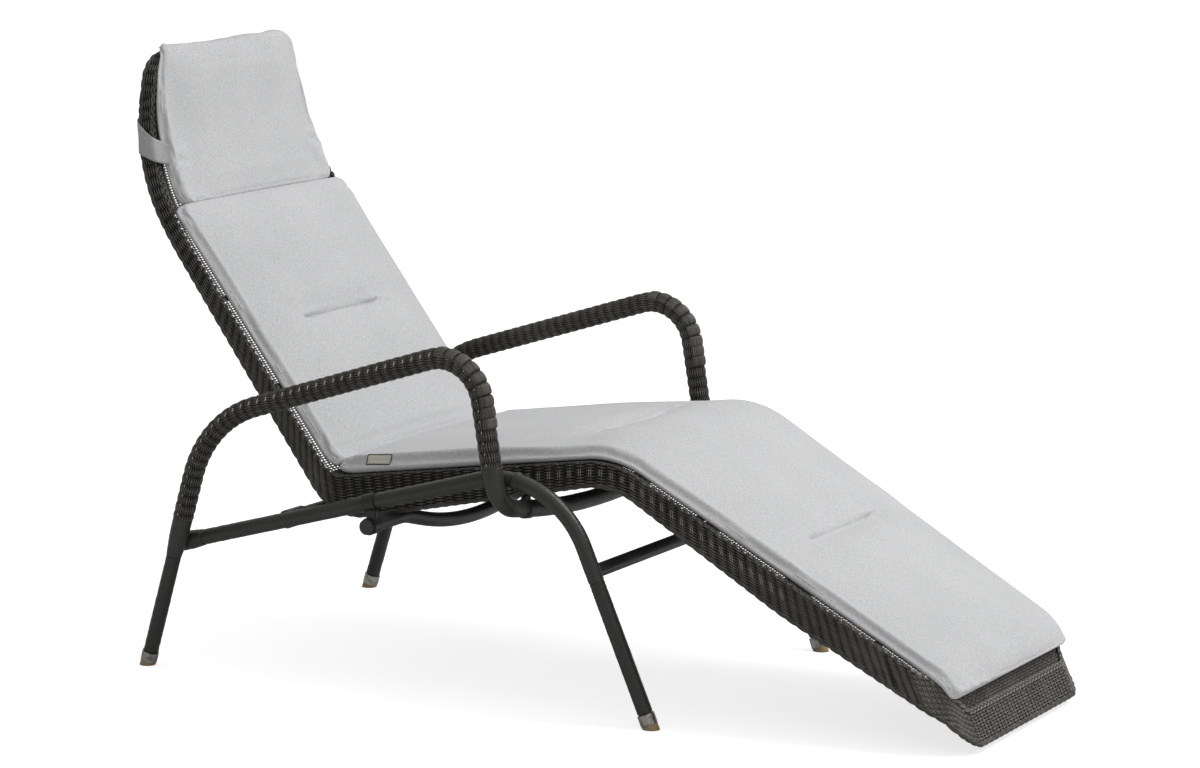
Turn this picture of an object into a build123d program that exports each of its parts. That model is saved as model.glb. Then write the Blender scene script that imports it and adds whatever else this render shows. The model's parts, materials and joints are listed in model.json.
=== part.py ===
from build123d import *
import math
import os

# Stacking lounge chair: a bent tube frame wound with cane, a woven S-shaped shell
# and a loose three-section cushion with a strap behind the head end.
# Millimetres. X runs from head to foot, Y to the sitter's left, Z up.
# Places along X are given from the rear feet; the finished model is moved at the end,
# so that its origin is on the floor at the middle of its outline.

# Stance and arm loops
arm_shell_gap = 83.0
rear_foot_inset = 7.0
front_foot_inset = 48.0
foot_spacing = 930.0
leg_bend_x = 133.0
leg_bend_z = 424.6
arm_bend_x = 640.6
arm_bend_z = 583.5
post_foot_x = 683.0
leg_bend_radius = 190.0
arm_bend_radius = 75.0
post_bend_radius = 55.0
frame_tube_radius = 11.0

# Side rails, each bent down into a front leg
rail_start_x = 64.0
rail_start_z = 211.2
rail_bend_x = 768.0
rail_bend_z = 406.5
rail_bend_radius = 155.0
rail_side_gap = 0.4

# Feet
glide_radius = 13.0
glide_height = 7.0
glide_trim = 10.0
ferrule_radius = 13.8
ferrule_length = 18.0
ferrule_floor = 2.0
ferrule_lip_radius = 1.5

# Windings of cane and weave on the tubes
winding_clearance = 0.1
rail_cane_thickness = 1.8
leg_cane_thickness = 1.3
post_cane_thickness = 3.0
post_collar_radius = 17.6
post_collar_length = 62.0
arm_weave_thickness = 6.2
joint_binding_thickness = 4.6
joint_binding_bottom_z = 190.0
joint_binding_top_z = 258.0
joint_binding_length = 40.0
joint_binding_end = 3.0
weave_end_z = 396.0
leg_cane_top_z = 226.0
ring_binding_thickness = 4.2
ring_binding_length = 48.0
rail_lashing_thickness = 2.2
rail_lashing_length = 10.0
rail_lashing_gap = 0.6

# Flat pads wound over the weave down the front of each arm post
pad_count = 9
pad_pitch = 17.0
pad_length = 12.0
pad_width = 25.0
pad_thickness = 4.5
pad_start_length = 12.0

# Tubes across the frame
rear_cross_x = 258.0
seat_cross_x = 432.0
seat_cross_radius = 12.0
seat_cross_hang = 38.0
seat_cross_overhang = 18.0
seat_cross_dip = 60.0
seat_cross_straight = 57.0
seat_cross_shoulder_inset = 40.0
seat_cross_shoulder_radius = 120.0
end_cap_radius = 12.6
end_cap_thickness = 3.0
end_cap_stem_radius = 9.5
end_cap_stem_length = 12.0
end_cap_clearance = 0.1
lashing_width = 22.0
lashing_thickness = 2.2
lashing_post_radius = 9.0
post_foot_inset = 60.0
front_cross_z = 322.0
front_cross_bow = 25.0
stretcher_z = 241.0

# Shell: lower edge, seen from the side
head_lower_x = -84.0
head_lower_bend_drop = 181.2
seat_lower_x = 320.6
seat_lower_z = 259.6
knee_lower_x = 835.3
knee_lower_z = 370.3
calf_lower_x = 1128.0
calf_lower_z = 192.0
toe_lower_x = 1396.0
toe_lower_z = 54.0
foot_lower_x = 1440.0
foot_lower_z = 12.0
head_lower_radius = 330.0
seat_lower_radius = 100.0
knee_lower_radius = 120.0
calf_lower_radius = 600.0
toe_lower_radius = 60.0

# Shell: deck line, seen from the side
shell_top_z = 1000.0
head_deck_x = -58.0
head_deck_bend_drop = 175.0
seat_deck_x = 312.2
seat_deck_z = 333.0
knee_deck_x = 837.4
knee_deck_z = 409.2
toe_deck_x = 1385.0
toe_deck_z = 106.0
foot_deck_x = 1419.0
foot_deck_z = 58.0
head_deck_radius = 310.0
seat_deck_radius = 45.0
knee_deck_radius = 150.0
toe_deck_radius = 60.0

# Shell: widths, walls and inner frame
shell_half_width = 262.0
head_end_inset = 60.0
foot_end_inset = 27.0
head_taper_length = 300.0
head_corner_radius = 55.0
foot_corner_radius = 65.0
corner_run_out = 8.0
border_thickness = 7.0
rim_width = 12.0
deck_thickness = 4.0
fit_gap = 0.1
shell_bar_width = 6.0
shell_bar_height = 10.0
shell_rod_size = 6.0
stake_size = 5.0
stake_pitch = 62.0
stake_first_length = 560.0
stake_cut_depth = 200.0
rib_radius = 5.5
rib_pitch = 172.0
rib_first_length = 90.0
shell_lashing_width = 16.0
shell_lashing_thickness = 1.6

# Cushion
cushion_clearance = 0.3
cushion_sink = 3.0
head_section_length = 264.0
cushion_foot_margin = 31.0
seam_gap = 0.4
head_top_inset = 28.0
head_neck_inset = 49.0
head_edge_height = 18.0
head_crown_height = 36.0
head_top_edge_height = 11.0
head_top_crown_height = 14.0
head_turn_crown_height = 21.0
head_lap = 4.0
head_lap_draw = 16.0
back_inset = 18.0
seat_inset = 16.0
cushion_foot_inset = 19.0
cushion_edge_height = 28.0
cushion_crown_height = 45.0
sewn_crown_height = 37.0
seam_edge_height = 22.0
seam_crown_height = 29.0
cushion_side_bulge = 3.5
cushion_side_draw = 4.0
foot_round_width = 22.0
foot_end_height = 17.0
foot_end_crown = 20.0
end_round_length = 16.0
back_tuft_length = 247.0
knee_tuft_length = 434.0
calf_tuft_length = 818.0
tuft_half_length = 113.0
tuft_depth = 7.0
stations_per_pillow = 5

# Strap and tag
strap_thickness = 1.5
strap_clearance = 0.8
strap_front_low_drop = 189.0
strap_front_high_drop = 148.0
strap_rear_low_drop = 155.0
strap_rear_high_drop = 107.0
strap_lip_x = -30.0
strap_rear_reach = 24.0
tag_width = 38.0
tag_height = 15.0
tag_thickness = 0.8
tag_length_from_seam = 66.0

# Head section: length from its top, width, and heights at its edges and along its middle
head_station_shares = [
    (0.04, 0.10, 0.55, 0.66),
    (0.12, 0.25, 0.60, 0.83),
    (0.33, 0.42, 0.95, 1.00),
    (0.52, 0.66, 1.05, 1.05),
    (0.78, 0.95, 1.05, 1.03),
    (0.93, 1.00, 0.98, 0.92),
    (1.00, 1.00, 0.80, 0.70),
]

# One overrun for every cut
overrun = 2000.0

# Derived sizes
sides = {"left": 1.0, "right": -1.0}
arm_half_width = shell_half_width + arm_shell_gap
rear_foot_half_width = arm_half_width - rear_foot_inset
front_foot_half_width = arm_half_width - front_foot_inset
front_cross_half_length = arm_half_width - post_foot_inset
seat_cross_shoulder = shell_half_width - seat_cross_shoulder_inset
seat_cross_slope_length = math.hypot(seat_cross_shoulder, seat_cross_dip)
seat_cross_dip_tangent = seat_cross_slope_length - seat_cross_straight
seat_cross_dip_radius = seat_cross_dip_tangent * seat_cross_shoulder / seat_cross_dip
head_half_width = shell_half_width - head_end_inset
foot_half_width = shell_half_width - foot_end_inset
head_top_half_width = head_half_width - head_top_inset
head_neck_half_width = shell_half_width - head_neck_inset
back_half_width = shell_half_width - back_inset
seat_half_width = shell_half_width - seat_inset
cushion_foot_half_width = foot_half_width - cushion_foot_inset
head_deck_bend_z = shell_top_z - head_deck_bend_drop
head_lower_bend_z = shell_top_z - head_lower_bend_drop
head_taper_z = shell_top_z - head_taper_length
strap_front_low_z = shell_top_z - strap_front_low_drop
strap_front_high_z = shell_top_z - strap_front_high_drop
strap_rear_low_z = shell_top_z - strap_rear_low_drop
strap_rear_high_z = shell_top_z - strap_rear_high_drop
bore_radius = frame_tube_radius + winding_clearance
leg_cane_radius = bore_radius + leg_cane_thickness
rail_cane_radius = bore_radius + rail_cane_thickness
post_cane_radius = bore_radius + post_cane_thickness
arm_weave_radius = bore_radius + arm_weave_thickness
joint_binding_radius = bore_radius + joint_binding_thickness
rail_offset = leg_cane_radius + rail_cane_radius + rail_side_gap
tube_end = glide_height + ferrule_floor
ferrule_top = glide_height + ferrule_length
bar_top = -deck_thickness - fit_gap
bar_bottom = bar_top - shell_bar_height
bar_outer_inset = border_thickness + fit_gap
bar_inner_inset = bar_outer_inset + shell_bar_width
cane_cut_x = rail_start_x + joint_binding_length

front_cross_radius = (front_cross_half_length**2 + front_cross_bow**2) / (2 * front_cross_bow)
front_cross_slope = front_cross_half_length / (front_cross_radius - front_cross_bow)
post_foot_z = front_cross_z + front_cross_slope * (arm_half_width - front_cross_half_length)
rail_slope = (rail_bend_z - rail_start_z) / (rail_bend_x - rail_start_x)
seat_cross_z = rail_start_z + rail_slope * (seat_cross_x - rail_start_x) - seat_cross_hang
foot_slant = (foot_lower_x - foot_deck_x) / (foot_deck_z - foot_lower_z)

lower_points = [
    (head_lower_x, shell_top_z),
    (head_lower_x, head_lower_bend_z),
    (seat_lower_x, seat_lower_z),
    (knee_lower_x, knee_lower_z),
    (calf_lower_x, calf_lower_z),
    (toe_lower_x, toe_lower_z),
    (foot_lower_x, foot_lower_z),
]
lower_radii = [
    head_lower_radius, seat_lower_radius, knee_lower_radius, calf_lower_radius, toe_lower_radius
]
deck_points = [
    (head_deck_x, shell_top_z),
    (head_deck_x, head_deck_bend_z),
    (seat_deck_x, seat_deck_z),
    (knee_deck_x, knee_deck_z),
    (toe_deck_x, toe_deck_z),
    (foot_deck_x, foot_deck_z),
]
deck_radii = [head_deck_radius, seat_deck_radius, knee_deck_radius, toe_deck_radius]

parts = {}


# General shapes

def rod(path, radius):
    """Solid round bar along a path."""
    return sweep(Plane(origin=path @ 0, z_dir=path % 0) * Circle(radius), path=path)


def sleeve(path, inner, outer):
    """Round winding along a path."""
    return rod(path, outer) - rod(path, inner)


def block(x_low, x_high, y_low, y_high, z_low, z_high):
    """Box between six faces."""
    size = Box(x_high - x_low, y_high - y_low, z_high - z_low, align=(Align.MIN,) * 3)
    return Pos(x_low, y_low, z_low) * size


def below(z):
    """Everything below a height."""
    return block(-overrun, overrun, -overrun, overrun, -overrun, z)


def beyond(x):
    """Everything past a place along the chair, towards the foot."""
    return block(x, overrun, -overrun, overrun, -overrun, overrun)


def plug(plane, start, length, radius):
    """Round bar on an axis, from a start to a length along it."""
    low = (Align.CENTER, Align.CENTER, Align.MIN)
    return plane * Pos(0, 0, start) * Cylinder(radius, length, align=low)


def collar(plane, start, length, inner, outer):
    """Ring on an axis, from a start to a length along it."""
    return plug(plane, start, length, outer) - plug(plane, start, length, inner)


def mirrored_line(point):
    """Straight line across the chair that ends at a point."""
    return Line(Vector(point.X, -point.Y, point.Z), point)


def solids_of(*shapes):
    """All the solids of some shapes, as one group."""
    return Compound([solid for shape in shapes for solid in shape.solids()])


# Frame paths, one per side

def arm_points(side):
    """Corners of an arm loop from the rear foot, over the arm and down the post."""
    return [
        Vector(0, side * rear_foot_half_width, 0),
        Vector(leg_bend_x, side * arm_half_width, leg_bend_z),
        Vector(arm_bend_x, side * arm_half_width, arm_bend_z),
        Vector(post_foot_x, side * arm_half_width, post_foot_z),
        Vector(post_foot_x, side * front_cross_half_length, front_cross_z),
    ]


def rail_points(side):
    """Corners of a side rail from the rear leg to the front foot."""
    lean = (arm_half_width - rear_foot_half_width) / leg_bend_z
    leg_half_width = rear_foot_half_width + lean * rail_start_z
    return [
        Vector(rail_start_x, side * (leg_half_width - rail_offset), rail_start_z),
        Vector(rail_bend_x, side * (arm_half_width - rail_offset), rail_bend_z),
        Vector(foot_spacing, side * front_foot_half_width, 0),
    ]


def leg_plane(foot, above):
    """Plane on the floor at a foot, square to its leg."""
    return Plane(origin=foot, z_dir=above - foot)


def arm_path(side):
    """Centre line of an arm loop, from the ferrule's floor to the front cross tube."""
    foot, *rest = arm_points(side)
    start = foot + (rest[0] - foot).normalized() * tube_end
    return FilletPolyline(start, *rest, radius=[leg_bend_radius, arm_bend_radius, post_bend_radius])


def rail_path(side):
    """Centre line of a side rail and front leg, down to the ferrule's floor."""
    start, bend, foot = rail_points(side)
    end = foot + (bend - foot).normalized() * tube_end
    return FilletPolyline(start, bend, end, radius=[rail_bend_radius])


def rail_start_plane(side):
    """Plane at a side rail's rear end, looking along the rail."""
    start, bend, foot = rail_points(side)
    return Plane(origin=start, z_dir=bend - start)


def rail_place(side, x):
    """Point on a side rail's straight run at a place along the chair."""
    start, bend, foot = rail_points(side)
    return start + (bend - start) * ((x - start.X) / (bend.X - start.X))


def post_plane(side, z):
    """Plane across an arm post at a height, looking up the post."""
    points = arm_points(side)
    top, bottom = points[2], points[3]
    origin = bottom + (top - bottom) * ((z - bottom.Z) / (top.Z - bottom.Z))
    return Plane(origin=origin, x_dir=(0, 1, 0), z_dir=top - bottom)


def front_cross_path():
    """Bowed centre line of the front cross tube."""
    return ThreePointArc(
        (post_foot_x, -front_cross_half_length, front_cross_z),
        (post_foot_x, 0, front_cross_z - front_cross_bow),
        (post_foot_x, front_cross_half_length, front_cross_z),
    )


def seat_cross_path():
    """Dipped centre line of the tube that carries the seat, between its end caps."""
    end = rail_place(1, seat_cross_x).Y + seat_cross_overhang - end_cap_thickness
    return FilletPolyline(
        (seat_cross_x, -end, seat_cross_z),
        (seat_cross_x, -seat_cross_shoulder, seat_cross_z),
        (seat_cross_x, 0, seat_cross_z - seat_cross_dip),
        (seat_cross_x, seat_cross_shoulder, seat_cross_z),
        (seat_cross_x, end, seat_cross_z),
        radius=[seat_cross_shoulder_radius, seat_cross_dip_radius, seat_cross_shoulder_radius],
    )


# Frame tubes

arm_tubes = {name: rod(arm_path(side), frame_tube_radius) for name, side in sides.items()}
rail_tubes = {name: rod(rail_path(side), frame_tube_radius) for name, side in sides.items()}
both_rails = solids_of(*rail_tubes.values())
for name in sides:
    parts[f"arm_frame_tube_{name}"] = arm_tubes[name]
    parts[f"side_rail_tube_{name}"] = rail_tubes[name]


def crossing_bar(left_point, radius):
    """Straight bar across the frame, coped to the rails at both ends."""
    bar = rod(mirrored_line(left_point), radius) - both_rails
    return bar.solids().sort_by(SortBy.VOLUME)[-1]


rear_cross_end = rail_place(1, rear_cross_x)
parts["rear_cross_tube"] = crossing_bar(rear_cross_end, frame_tube_radius)

rail_corner, front_foot = rail_points(1)[1:]
stretcher_end = front_foot + (rail_corner - front_foot) * (stretcher_z / rail_corner.Z)
parts["leg_stretcher_tube"] = crossing_bar(stretcher_end, frame_tube_radius)

parts["front_cross_tube"] = rod(front_cross_path(), frame_tube_radius)


def make_seat_cross():
    """Tube that carries the seat, with a flat plug in each end."""
    end = rail_place(1, seat_cross_x).Y + seat_cross_overhang
    tube = rod(seat_cross_path(), seat_cross_radius)
    bore_size = end_cap_stem_radius + end_cap_clearance
    bore_depth = end_cap_stem_length + end_cap_clearance
    caps = []
    for side in sides.values():
        plane = Plane(origin=(seat_cross_x, side * end, seat_cross_z), z_dir=(0, -side, 0))
        disc = plug(plane, 0, end_cap_thickness, end_cap_radius)
        caps.append(disc + plug(plane, end_cap_thickness, end_cap_stem_length, end_cap_stem_radius))
        tube -= plug(plane, end_cap_thickness, bore_depth, bore_size)
    parts["seat_cross_tube"] = tube
    parts["seat_cross_tube_caps"] = solids_of(*caps)


make_seat_cross()


# Feet

def make_feet():
    """Metal ferrules over the leg ends, and the glides under them, cut flat at the floor."""
    glides = []
    ferrules = []
    for side in sides.values():
        rear, bend = arm_points(side)[:2]
        corner, front = rail_points(side)[1:]
        for foot, above in ((rear, bend), (front, corner)):
            plane = leg_plane(foot, above)
            length = glide_height + glide_trim
            glides.append(plug(plane, -glide_trim, length, glide_radius) - below(0))
            cup = plug(plane, glide_height, ferrule_length, ferrule_radius)
            cup = fillet(cup.edges().sort_by(Axis.Z)[0], ferrule_lip_radius)
            ferrules.append(cup - plug(plane, tube_end, ferrule_length, bore_radius))
    parts["foot_glides"] = solids_of(*glides)
    parts["foot_ferrules"] = solids_of(*ferrules)


make_feet()


# Windings on the arm loops

def make_joint_binding(side):
    """Thick binding that ties the rear end of a rail to the leg beside it."""
    start = rail_start_plane(side)
    around_rail = plug(start, -joint_binding_end, overrun, joint_binding_radius)
    around_rail -= beyond(cane_cut_x)
    around_leg = rod(arm_path(side), joint_binding_radius) - below(joint_binding_bottom_z)
    around_leg &= below(joint_binding_top_z) - beyond(arm_bend_x - arm_bend_radius)
    inner = rod(arm_path(side), bore_radius) + plug(start, 0, overrun, bore_radius)
    return around_rail + around_leg - inner


def make_post_cane(side):
    """Smooth cane from the end of the arm weave to the cross tube, with a tapered collar."""
    path = arm_path(side)
    winding = rod(path, post_cane_radius) & below(weave_end_z) & beyond(arm_bend_x)
    cone = Cone(post_cane_radius, post_collar_radius, post_collar_length,
                align=(Align.CENTER, Align.CENTER, Align.MAX))
    collar_part = post_plane(side, weave_end_z) * cone & below(weave_end_z)
    rail_space = rod(rail_path(side), rail_cane_radius + winding_clearance)
    return winding + collar_part - rod(path, bore_radius) - rail_space


def make_arm_weave(side):
    """Woven winding from the rear joint, over the arm and down to the post's collar."""
    weave = sleeve(arm_path(side), bore_radius, arm_weave_radius)
    rear = below(joint_binding_top_z) - beyond(arm_bend_x - arm_bend_radius)
    front = below(weave_end_z) & beyond(arm_bend_x - arm_bend_radius)
    return weave - rear - front


def make_post_pads(side):
    """Row of flat pads over the weave, from the arm's front bend down the post."""
    path = arm_path(side)
    arm = rod(path, arm_weave_radius)
    first = sum(edge.length for edge in path.edges()[:3]) + pad_start_length
    pads = []
    for index in range(pad_count):
        place = first + index * pad_pitch
        origin = path.position_at(place, position_mode=PositionMode.LENGTH)
        along = path.tangent_at(place, position_mode=PositionMode.LENGTH)
        plane = Plane(origin=origin, x_dir=(0, 1, 0), z_dir=along)
        radius = arm_weave_radius + pad_thickness
        window = Box(pad_width, radius, pad_length, align=(Align.CENTER, Align.MIN, Align.CENTER))
        pads.append(plane * (Cylinder(radius, pad_length) & window) - arm)
    return pads


def make_lashings(side):
    """Turns of cane round a rail, on either side of the post that it passes."""
    post_x = post_plane(side, rail_place(side, post_foot_x).Z).origin.X
    reach = post_cane_radius + rail_lashing_gap
    winding = sleeve(rail_path(side), rail_cane_radius, rail_cane_radius + rail_lashing_thickness)
    winding -= below(rail_place(side, post_foot_x).Z - joint_binding_radius * 2)
    turns = []
    for low in (post_x - reach - rail_lashing_length, post_x + reach):
        turns.append(winding & beyond(low) - beyond(low + rail_lashing_length))
    return turns


parts["rear_joint_binding"] = solids_of(*(make_joint_binding(side) for side in sides.values()))
parts["post_cane"] = solids_of(*(make_post_cane(side) for side in sides.values()))
for name, side in sides.items():
    parts[f"arm_weave_{name}"] = make_arm_weave(side)
parts["arm_post_pads"] = solids_of(*(pad for side in sides.values() for pad in make_post_pads(side)))
parts["rail_lashings"] = solids_of(*(turn for side in sides.values() for turn in make_lashings(side)))


# Windings on the legs, rails and cross tubes

def make_leg_cane(foot, above, top_z):
    """Thin cane on a leg, from its ferrule up to a height."""
    winding = collar(leg_plane(foot, above), ferrule_top, overrun, bore_radius, leg_cane_radius)
    return winding & below(top_z)


def make_rail_cane(side):
    """Cane along a rail and round its bend, down to the thin cane of the front leg."""
    winding = sleeve(rail_path(side), bore_radius, rail_cane_radius) & beyond(cane_cut_x)
    winding -= below(leg_cane_top_z) & beyond(rail_bend_x)
    winding -= rod(mirrored_line(rear_cross_end), leg_cane_radius)
    return winding - rod(mirrored_line(stretcher_end), bore_radius)


def make_rear_cross_windings():
    """Cane on the rear cross tube, and a thick ring binding at each of its ends."""
    line = mirrored_line(rear_cross_end)
    ring_end = rear_cross_end.Y - rail_cane_radius
    ring_start = ring_end - ring_binding_length
    middle = block(-overrun, overrun, -ring_start, ring_start, -overrun, overrun)
    span = block(-overrun, overrun, -ring_end, ring_end, -overrun, overrun)
    rings = sleeve(line, bore_radius, bore_radius + ring_binding_thickness) & span
    for side in sides.values():
        rings -= rod(rail_path(side), rail_cane_radius + winding_clearance)
    parts["rear_cross_tube_cane"] = sleeve(line, bore_radius, leg_cane_radius) & middle
    parts["rear_cross_tube_bindings"] = solids_of(rings - middle)


parts["rear_leg_cane"] = solids_of(*(
    make_leg_cane(*arm_points(side)[:2], joint_binding_bottom_z) for side in sides.values()
))
parts["front_leg_cane"] = solids_of(*(
    make_leg_cane(*reversed(rail_points(side)[1:]), leg_cane_top_z) for side in sides.values()
))
for name, side in sides.items():
    parts[f"rail_cane_{name}"] = make_rail_cane(side)
make_rear_cross_windings()
parts["front_cross_tube_cane"] = sleeve(front_cross_path(), bore_radius, post_cane_radius)


def make_seat_cross_lashings():
    """Lashings that hang the seat cross tube from the rails: two bands and a wound post."""
    rail_size = rail_cane_radius + winding_clearance
    tube_size = seat_cross_radius + winding_clearance
    lashings = []
    for side in sides.values():
        rail = rail_place(side, seat_cross_x)
        upper = Plane(origin=rail, z_dir=rail_start_plane(side).z_dir)
        lower = Plane(origin=(rail.X, rail.Y, seat_cross_z), z_dir=(0, 1, 0))
        bands = plug(upper, -lashing_width / 2, lashing_width, rail_size + lashing_thickness)
        bands += plug(lower, -lashing_width / 2, lashing_width, tube_size + lashing_thickness)
        bands += plug(Plane(origin=lower.origin), 0, seat_cross_hang, lashing_post_radius)
        bands -= plug(upper, -overrun / 2, overrun, rail_size)
        lashings.append(bands - plug(lower, -overrun / 2, overrun, tube_size))
    return lashings


parts["seat_cross_tube_lashings"] = solids_of(*make_seat_cross_lashings())


# Side-view lines of the shell

def moved_line(points, radii, amount):
    """Rounded line through side-view points, moved towards the sitter by an amount."""
    count = len(points)
    runs = [Vector(points[i + 1]) - Vector(points[i]) for i in range(count - 1)]
    normals = [Vector(-run.Y, run.X).normalized() for run in runs]
    moved = []
    for i in range(count):
        before = normals[max(i - 1, 0)]
        after = normals[min(i, count - 2)]
        shift = (before + after) * (amount / (1 + before.dot(after)))
        moved.append((points[i][0] + shift.X, 0, points[i][1] + shift.Y))
    moved_radii = []
    for i, radius in enumerate(radii):
        turn = runs[i].cross(runs[i + 1]).Z
        moved_radii.append(radius - math.copysign(1, turn) * amount)
    return FilletPolyline(*moved, radius=moved_radii)


def deck_line(amount):
    """Deck line moved towards the sitter by an amount."""
    return moved_line(deck_points, deck_radii, amount)


def lower_line(amount):
    """Lower edge of the shell moved towards the sitter by an amount."""
    return moved_line(lower_points, lower_radii, amount)


def band(upper, lower):
    """Sheet right across the chair between two side-view lines."""
    ends = [Line(upper @ 0, lower @ 0), Line(upper @ 1, lower @ 1)]
    edges = [edge for line in (upper, lower, *ends) for edge in line.edges()]
    face = Face(Wire(edges))
    return extrude(face, amount=overrun, dir=(0, 1, 0), both=True)


# Outline of the shell from above and from the front

def drawn_in(face, inset):
    """Flat outline moved inwards by an inset, or outwards where it is negative."""
    return offset(face, amount=-inset, kind=Kind.INTERSECTION) if inset else face


def envelope(inset):
    """Everything inside the shell's outline, drawn in all round by an inset."""
    taper_x = knee_lower_x + foot_slant * knee_lower_z
    end_x = foot_lower_x + foot_slant * foot_lower_z
    plan = make_face(Polyline(
        (-overrun, -shell_half_width), (taper_x, -shell_half_width), (end_x, -foot_half_width),
        (end_x, foot_half_width), (taper_x, shell_half_width), (-overrun, shell_half_width),
        close=True,
    ))
    plan = drawn_in(fillet(plan.vertices().sort_by(Axis.X)[-2:], foot_corner_radius), inset)
    down = Solid.extrude(plan.face(), Vector(foot_slant, 0, -1) * overrun)
    up = Solid.extrude(plan.face(), Vector(-foot_slant, 0, 1) * overrun)
    front = make_face(Plane.YZ * Polyline(
        (-shell_half_width, -overrun), (-shell_half_width, head_taper_z),
        (-head_half_width, shell_top_z), (head_half_width, shell_top_z),
        (shell_half_width, head_taper_z), (shell_half_width, -overrun), close=True,
    ))
    front = drawn_in(fillet(front.vertices().group_by(Axis.Z)[-1], head_corner_radius), inset)
    return (down + up) & extrude(front, amount=overrun, dir=(1, 0, 0), both=True)


def foot_end(length):
    """Everything within a length of the shell's foot end, along its slanted face."""
    end_x = foot_lower_x + foot_slant * foot_lower_z
    strip = make_face(Polyline(
        (end_x - length, -overrun), (end_x - length, overrun), (overrun, overrun),
        (overrun, -overrun), close=True,
    ))
    down = Solid.extrude(strip.face(), Vector(foot_slant, 0, -1) * overrun)
    return down + Solid.extrude(strip.face(), Vector(-foot_slant, 0, 1) * overrun)


head_zone = block(
    -overrun, overrun, -overrun, overrun,
    shell_top_z - head_corner_radius - corner_run_out, overrun,
)
foot_zone = foot_end(foot_corner_radius + corner_run_out)
side_zones = {
    "left": block(-overrun, overrun, 0, overrun, -overrun, overrun),
    "right": block(-overrun, overrun, -overrun, 0, -overrun, overrun),
}
walls = {
    "border": envelope(0) - envelope(border_thickness),
    "bar": envelope(bar_outer_inset) - envelope(bar_inner_inset),
    "rod": envelope(bar_outer_inset) - envelope(bar_outer_inset + shell_rod_size),
}
seat_cross_groove = rod(seat_cross_path(), seat_cross_radius + winding_clearance)


def around(ring):
    """A ring round the shell, as left and right sides, head end and foot end."""
    lengths = ring - head_zone - foot_zone
    pieces = {name: lengths & zone for name, zone in side_zones.items()}
    pieces["head"] = ring & head_zone
    pieces["foot"] = ring & foot_zone
    return pieces


# Shell

border_band = band(deck_line(bar_top), lower_line(0))
bar_band = band(deck_line(bar_top), deck_line(bar_bottom))
rod_band = band(lower_line(shell_rod_size), lower_line(0))
for end, piece in around(walls["border"] & border_band).items():
    parts[f"woven_border_{end}"] = piece - seat_cross_groove
for end, piece in around(walls["bar"] & bar_band).items():
    parts[f"shell_bar_{end}"] = piece
rod_ring = (walls["rod"] & rod_band) - bar_band - seat_cross_groove
parts["shell_lower_rods"] = solids_of(*around(rod_ring).values())
deck_band = band(deck_line(0), deck_line(-deck_thickness))
parts["rim_braid"] = deck_band & (envelope(0) - envelope(rim_width))
parts["woven_deck"] = deck_band & envelope(rim_width + fit_gap)


def station(length):
    """Plane across the deck line at a length from its head end, its Y away from the deck."""
    line = deck_line(0)
    origin = line.position_at(length, position_mode=PositionMode.LENGTH)
    along = line.tangent_at(length, position_mode=PositionMode.LENGTH)
    return Plane(origin=origin, x_dir=(0, 1, 0), z_dir=along)


def make_ribs():
    """Round bars right across under the deck, between the side bars."""
    inside = envelope(bar_inner_inset + fit_gap)
    ribs = []
    length = rib_first_length
    while length < deck_line(0).length - rib_first_length:
        plane = station(length)
        centre = plane.origin + plane.y_dir * (bar_top - rib_radius)
        ribs.append(plug(Plane(origin=centre, z_dir=(0, 1, 0)), -overrun, overrun * 2, rib_radius) & inside)
        length += rib_pitch
    return ribs


def make_stakes():
    """Square stakes in the side walls, between the side bars and the lower rods."""
    wall = envelope(bar_outer_inset) - envelope(bar_outer_inset + stake_size)
    wall = (wall & border_band) - bar_band - rod_band
    stakes = []
    length = stake_first_length
    while length < deck_line(0).length - stake_pitch * 2:
        stakes.append(wall & station(length) * Box(overrun, stake_cut_depth, stake_size))
        length += stake_pitch
    return stakes


parts["shell_cross_ribs"] = solids_of(*make_ribs())
parts["shell_stakes"] = solids_of(*make_stakes())


def make_shell_lashings():
    """Ties of cane that hold the shell's edges down on the front cross tube."""
    along = front_cross_path()
    place = shell_half_width - border_thickness / 2
    size = post_cane_radius + winding_clearance
    ties = []
    for side in sides.values():
        share = 0.5 + side * place / (2 * front_cross_half_length)
        plane = Plane(origin=along @ share, z_dir=along % share)
        tie = plug(plane, -shell_lashing_width / 2, shell_lashing_width, size + shell_lashing_thickness)
        tie += plug(Plane(origin=plane.origin), 0, size * 2, shell_lashing_width / 2)
        tie -= rod(along, size)
        ties.append(tie - band(deck_line(0), lower_line(-fit_gap)))
    return ties


parts["shell_lashings"] = solids_of(*make_shell_lashings())


# Cushion

shell_space = band(deck_line(cushion_clearance), lower_line(-cushion_clearance))


def section(plane, half_width, edge_height, crown_height):
    """Cross-section of a cushion: flat below, bulged sides and a crowned top."""
    bulge = half_width + cushion_side_bulge
    low = -cushion_sink
    middle = edge_height / 2
    edges = [
        Line((-half_width, low), (half_width, low)),
        ThreePointArc((half_width, low), (bulge, middle), (half_width, edge_height)),
        ThreePointArc((half_width, edge_height), (0, crown_height), (-half_width, edge_height)),
        ThreePointArc((-half_width, edge_height), (-bulge, middle), (-half_width, low)),
    ]
    return plane * make_face(edges)


def pillow_shape(share):
    """How full a pillow is between two sewn lines, from 0 at a line to 1 half-way."""
    return math.sin(math.pi * share) ** 0.5


def rise(low, high, share):
    """A size between two others."""
    return low + (high - low) * share


def groove(length):
    """Spindle that presses a sewn line into the crown at a place along the deck."""
    half = tuft_half_length
    outline = make_face([
        ThreePointArc((-half, 0), (0, tuft_depth), (half, 0)), Line((half, 0), (-half, 0))
    ])
    spindle = revolve(outline, Axis.X, 360)
    return station(length) * Pos(0, sewn_crown_height, 0) * spindle


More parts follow.
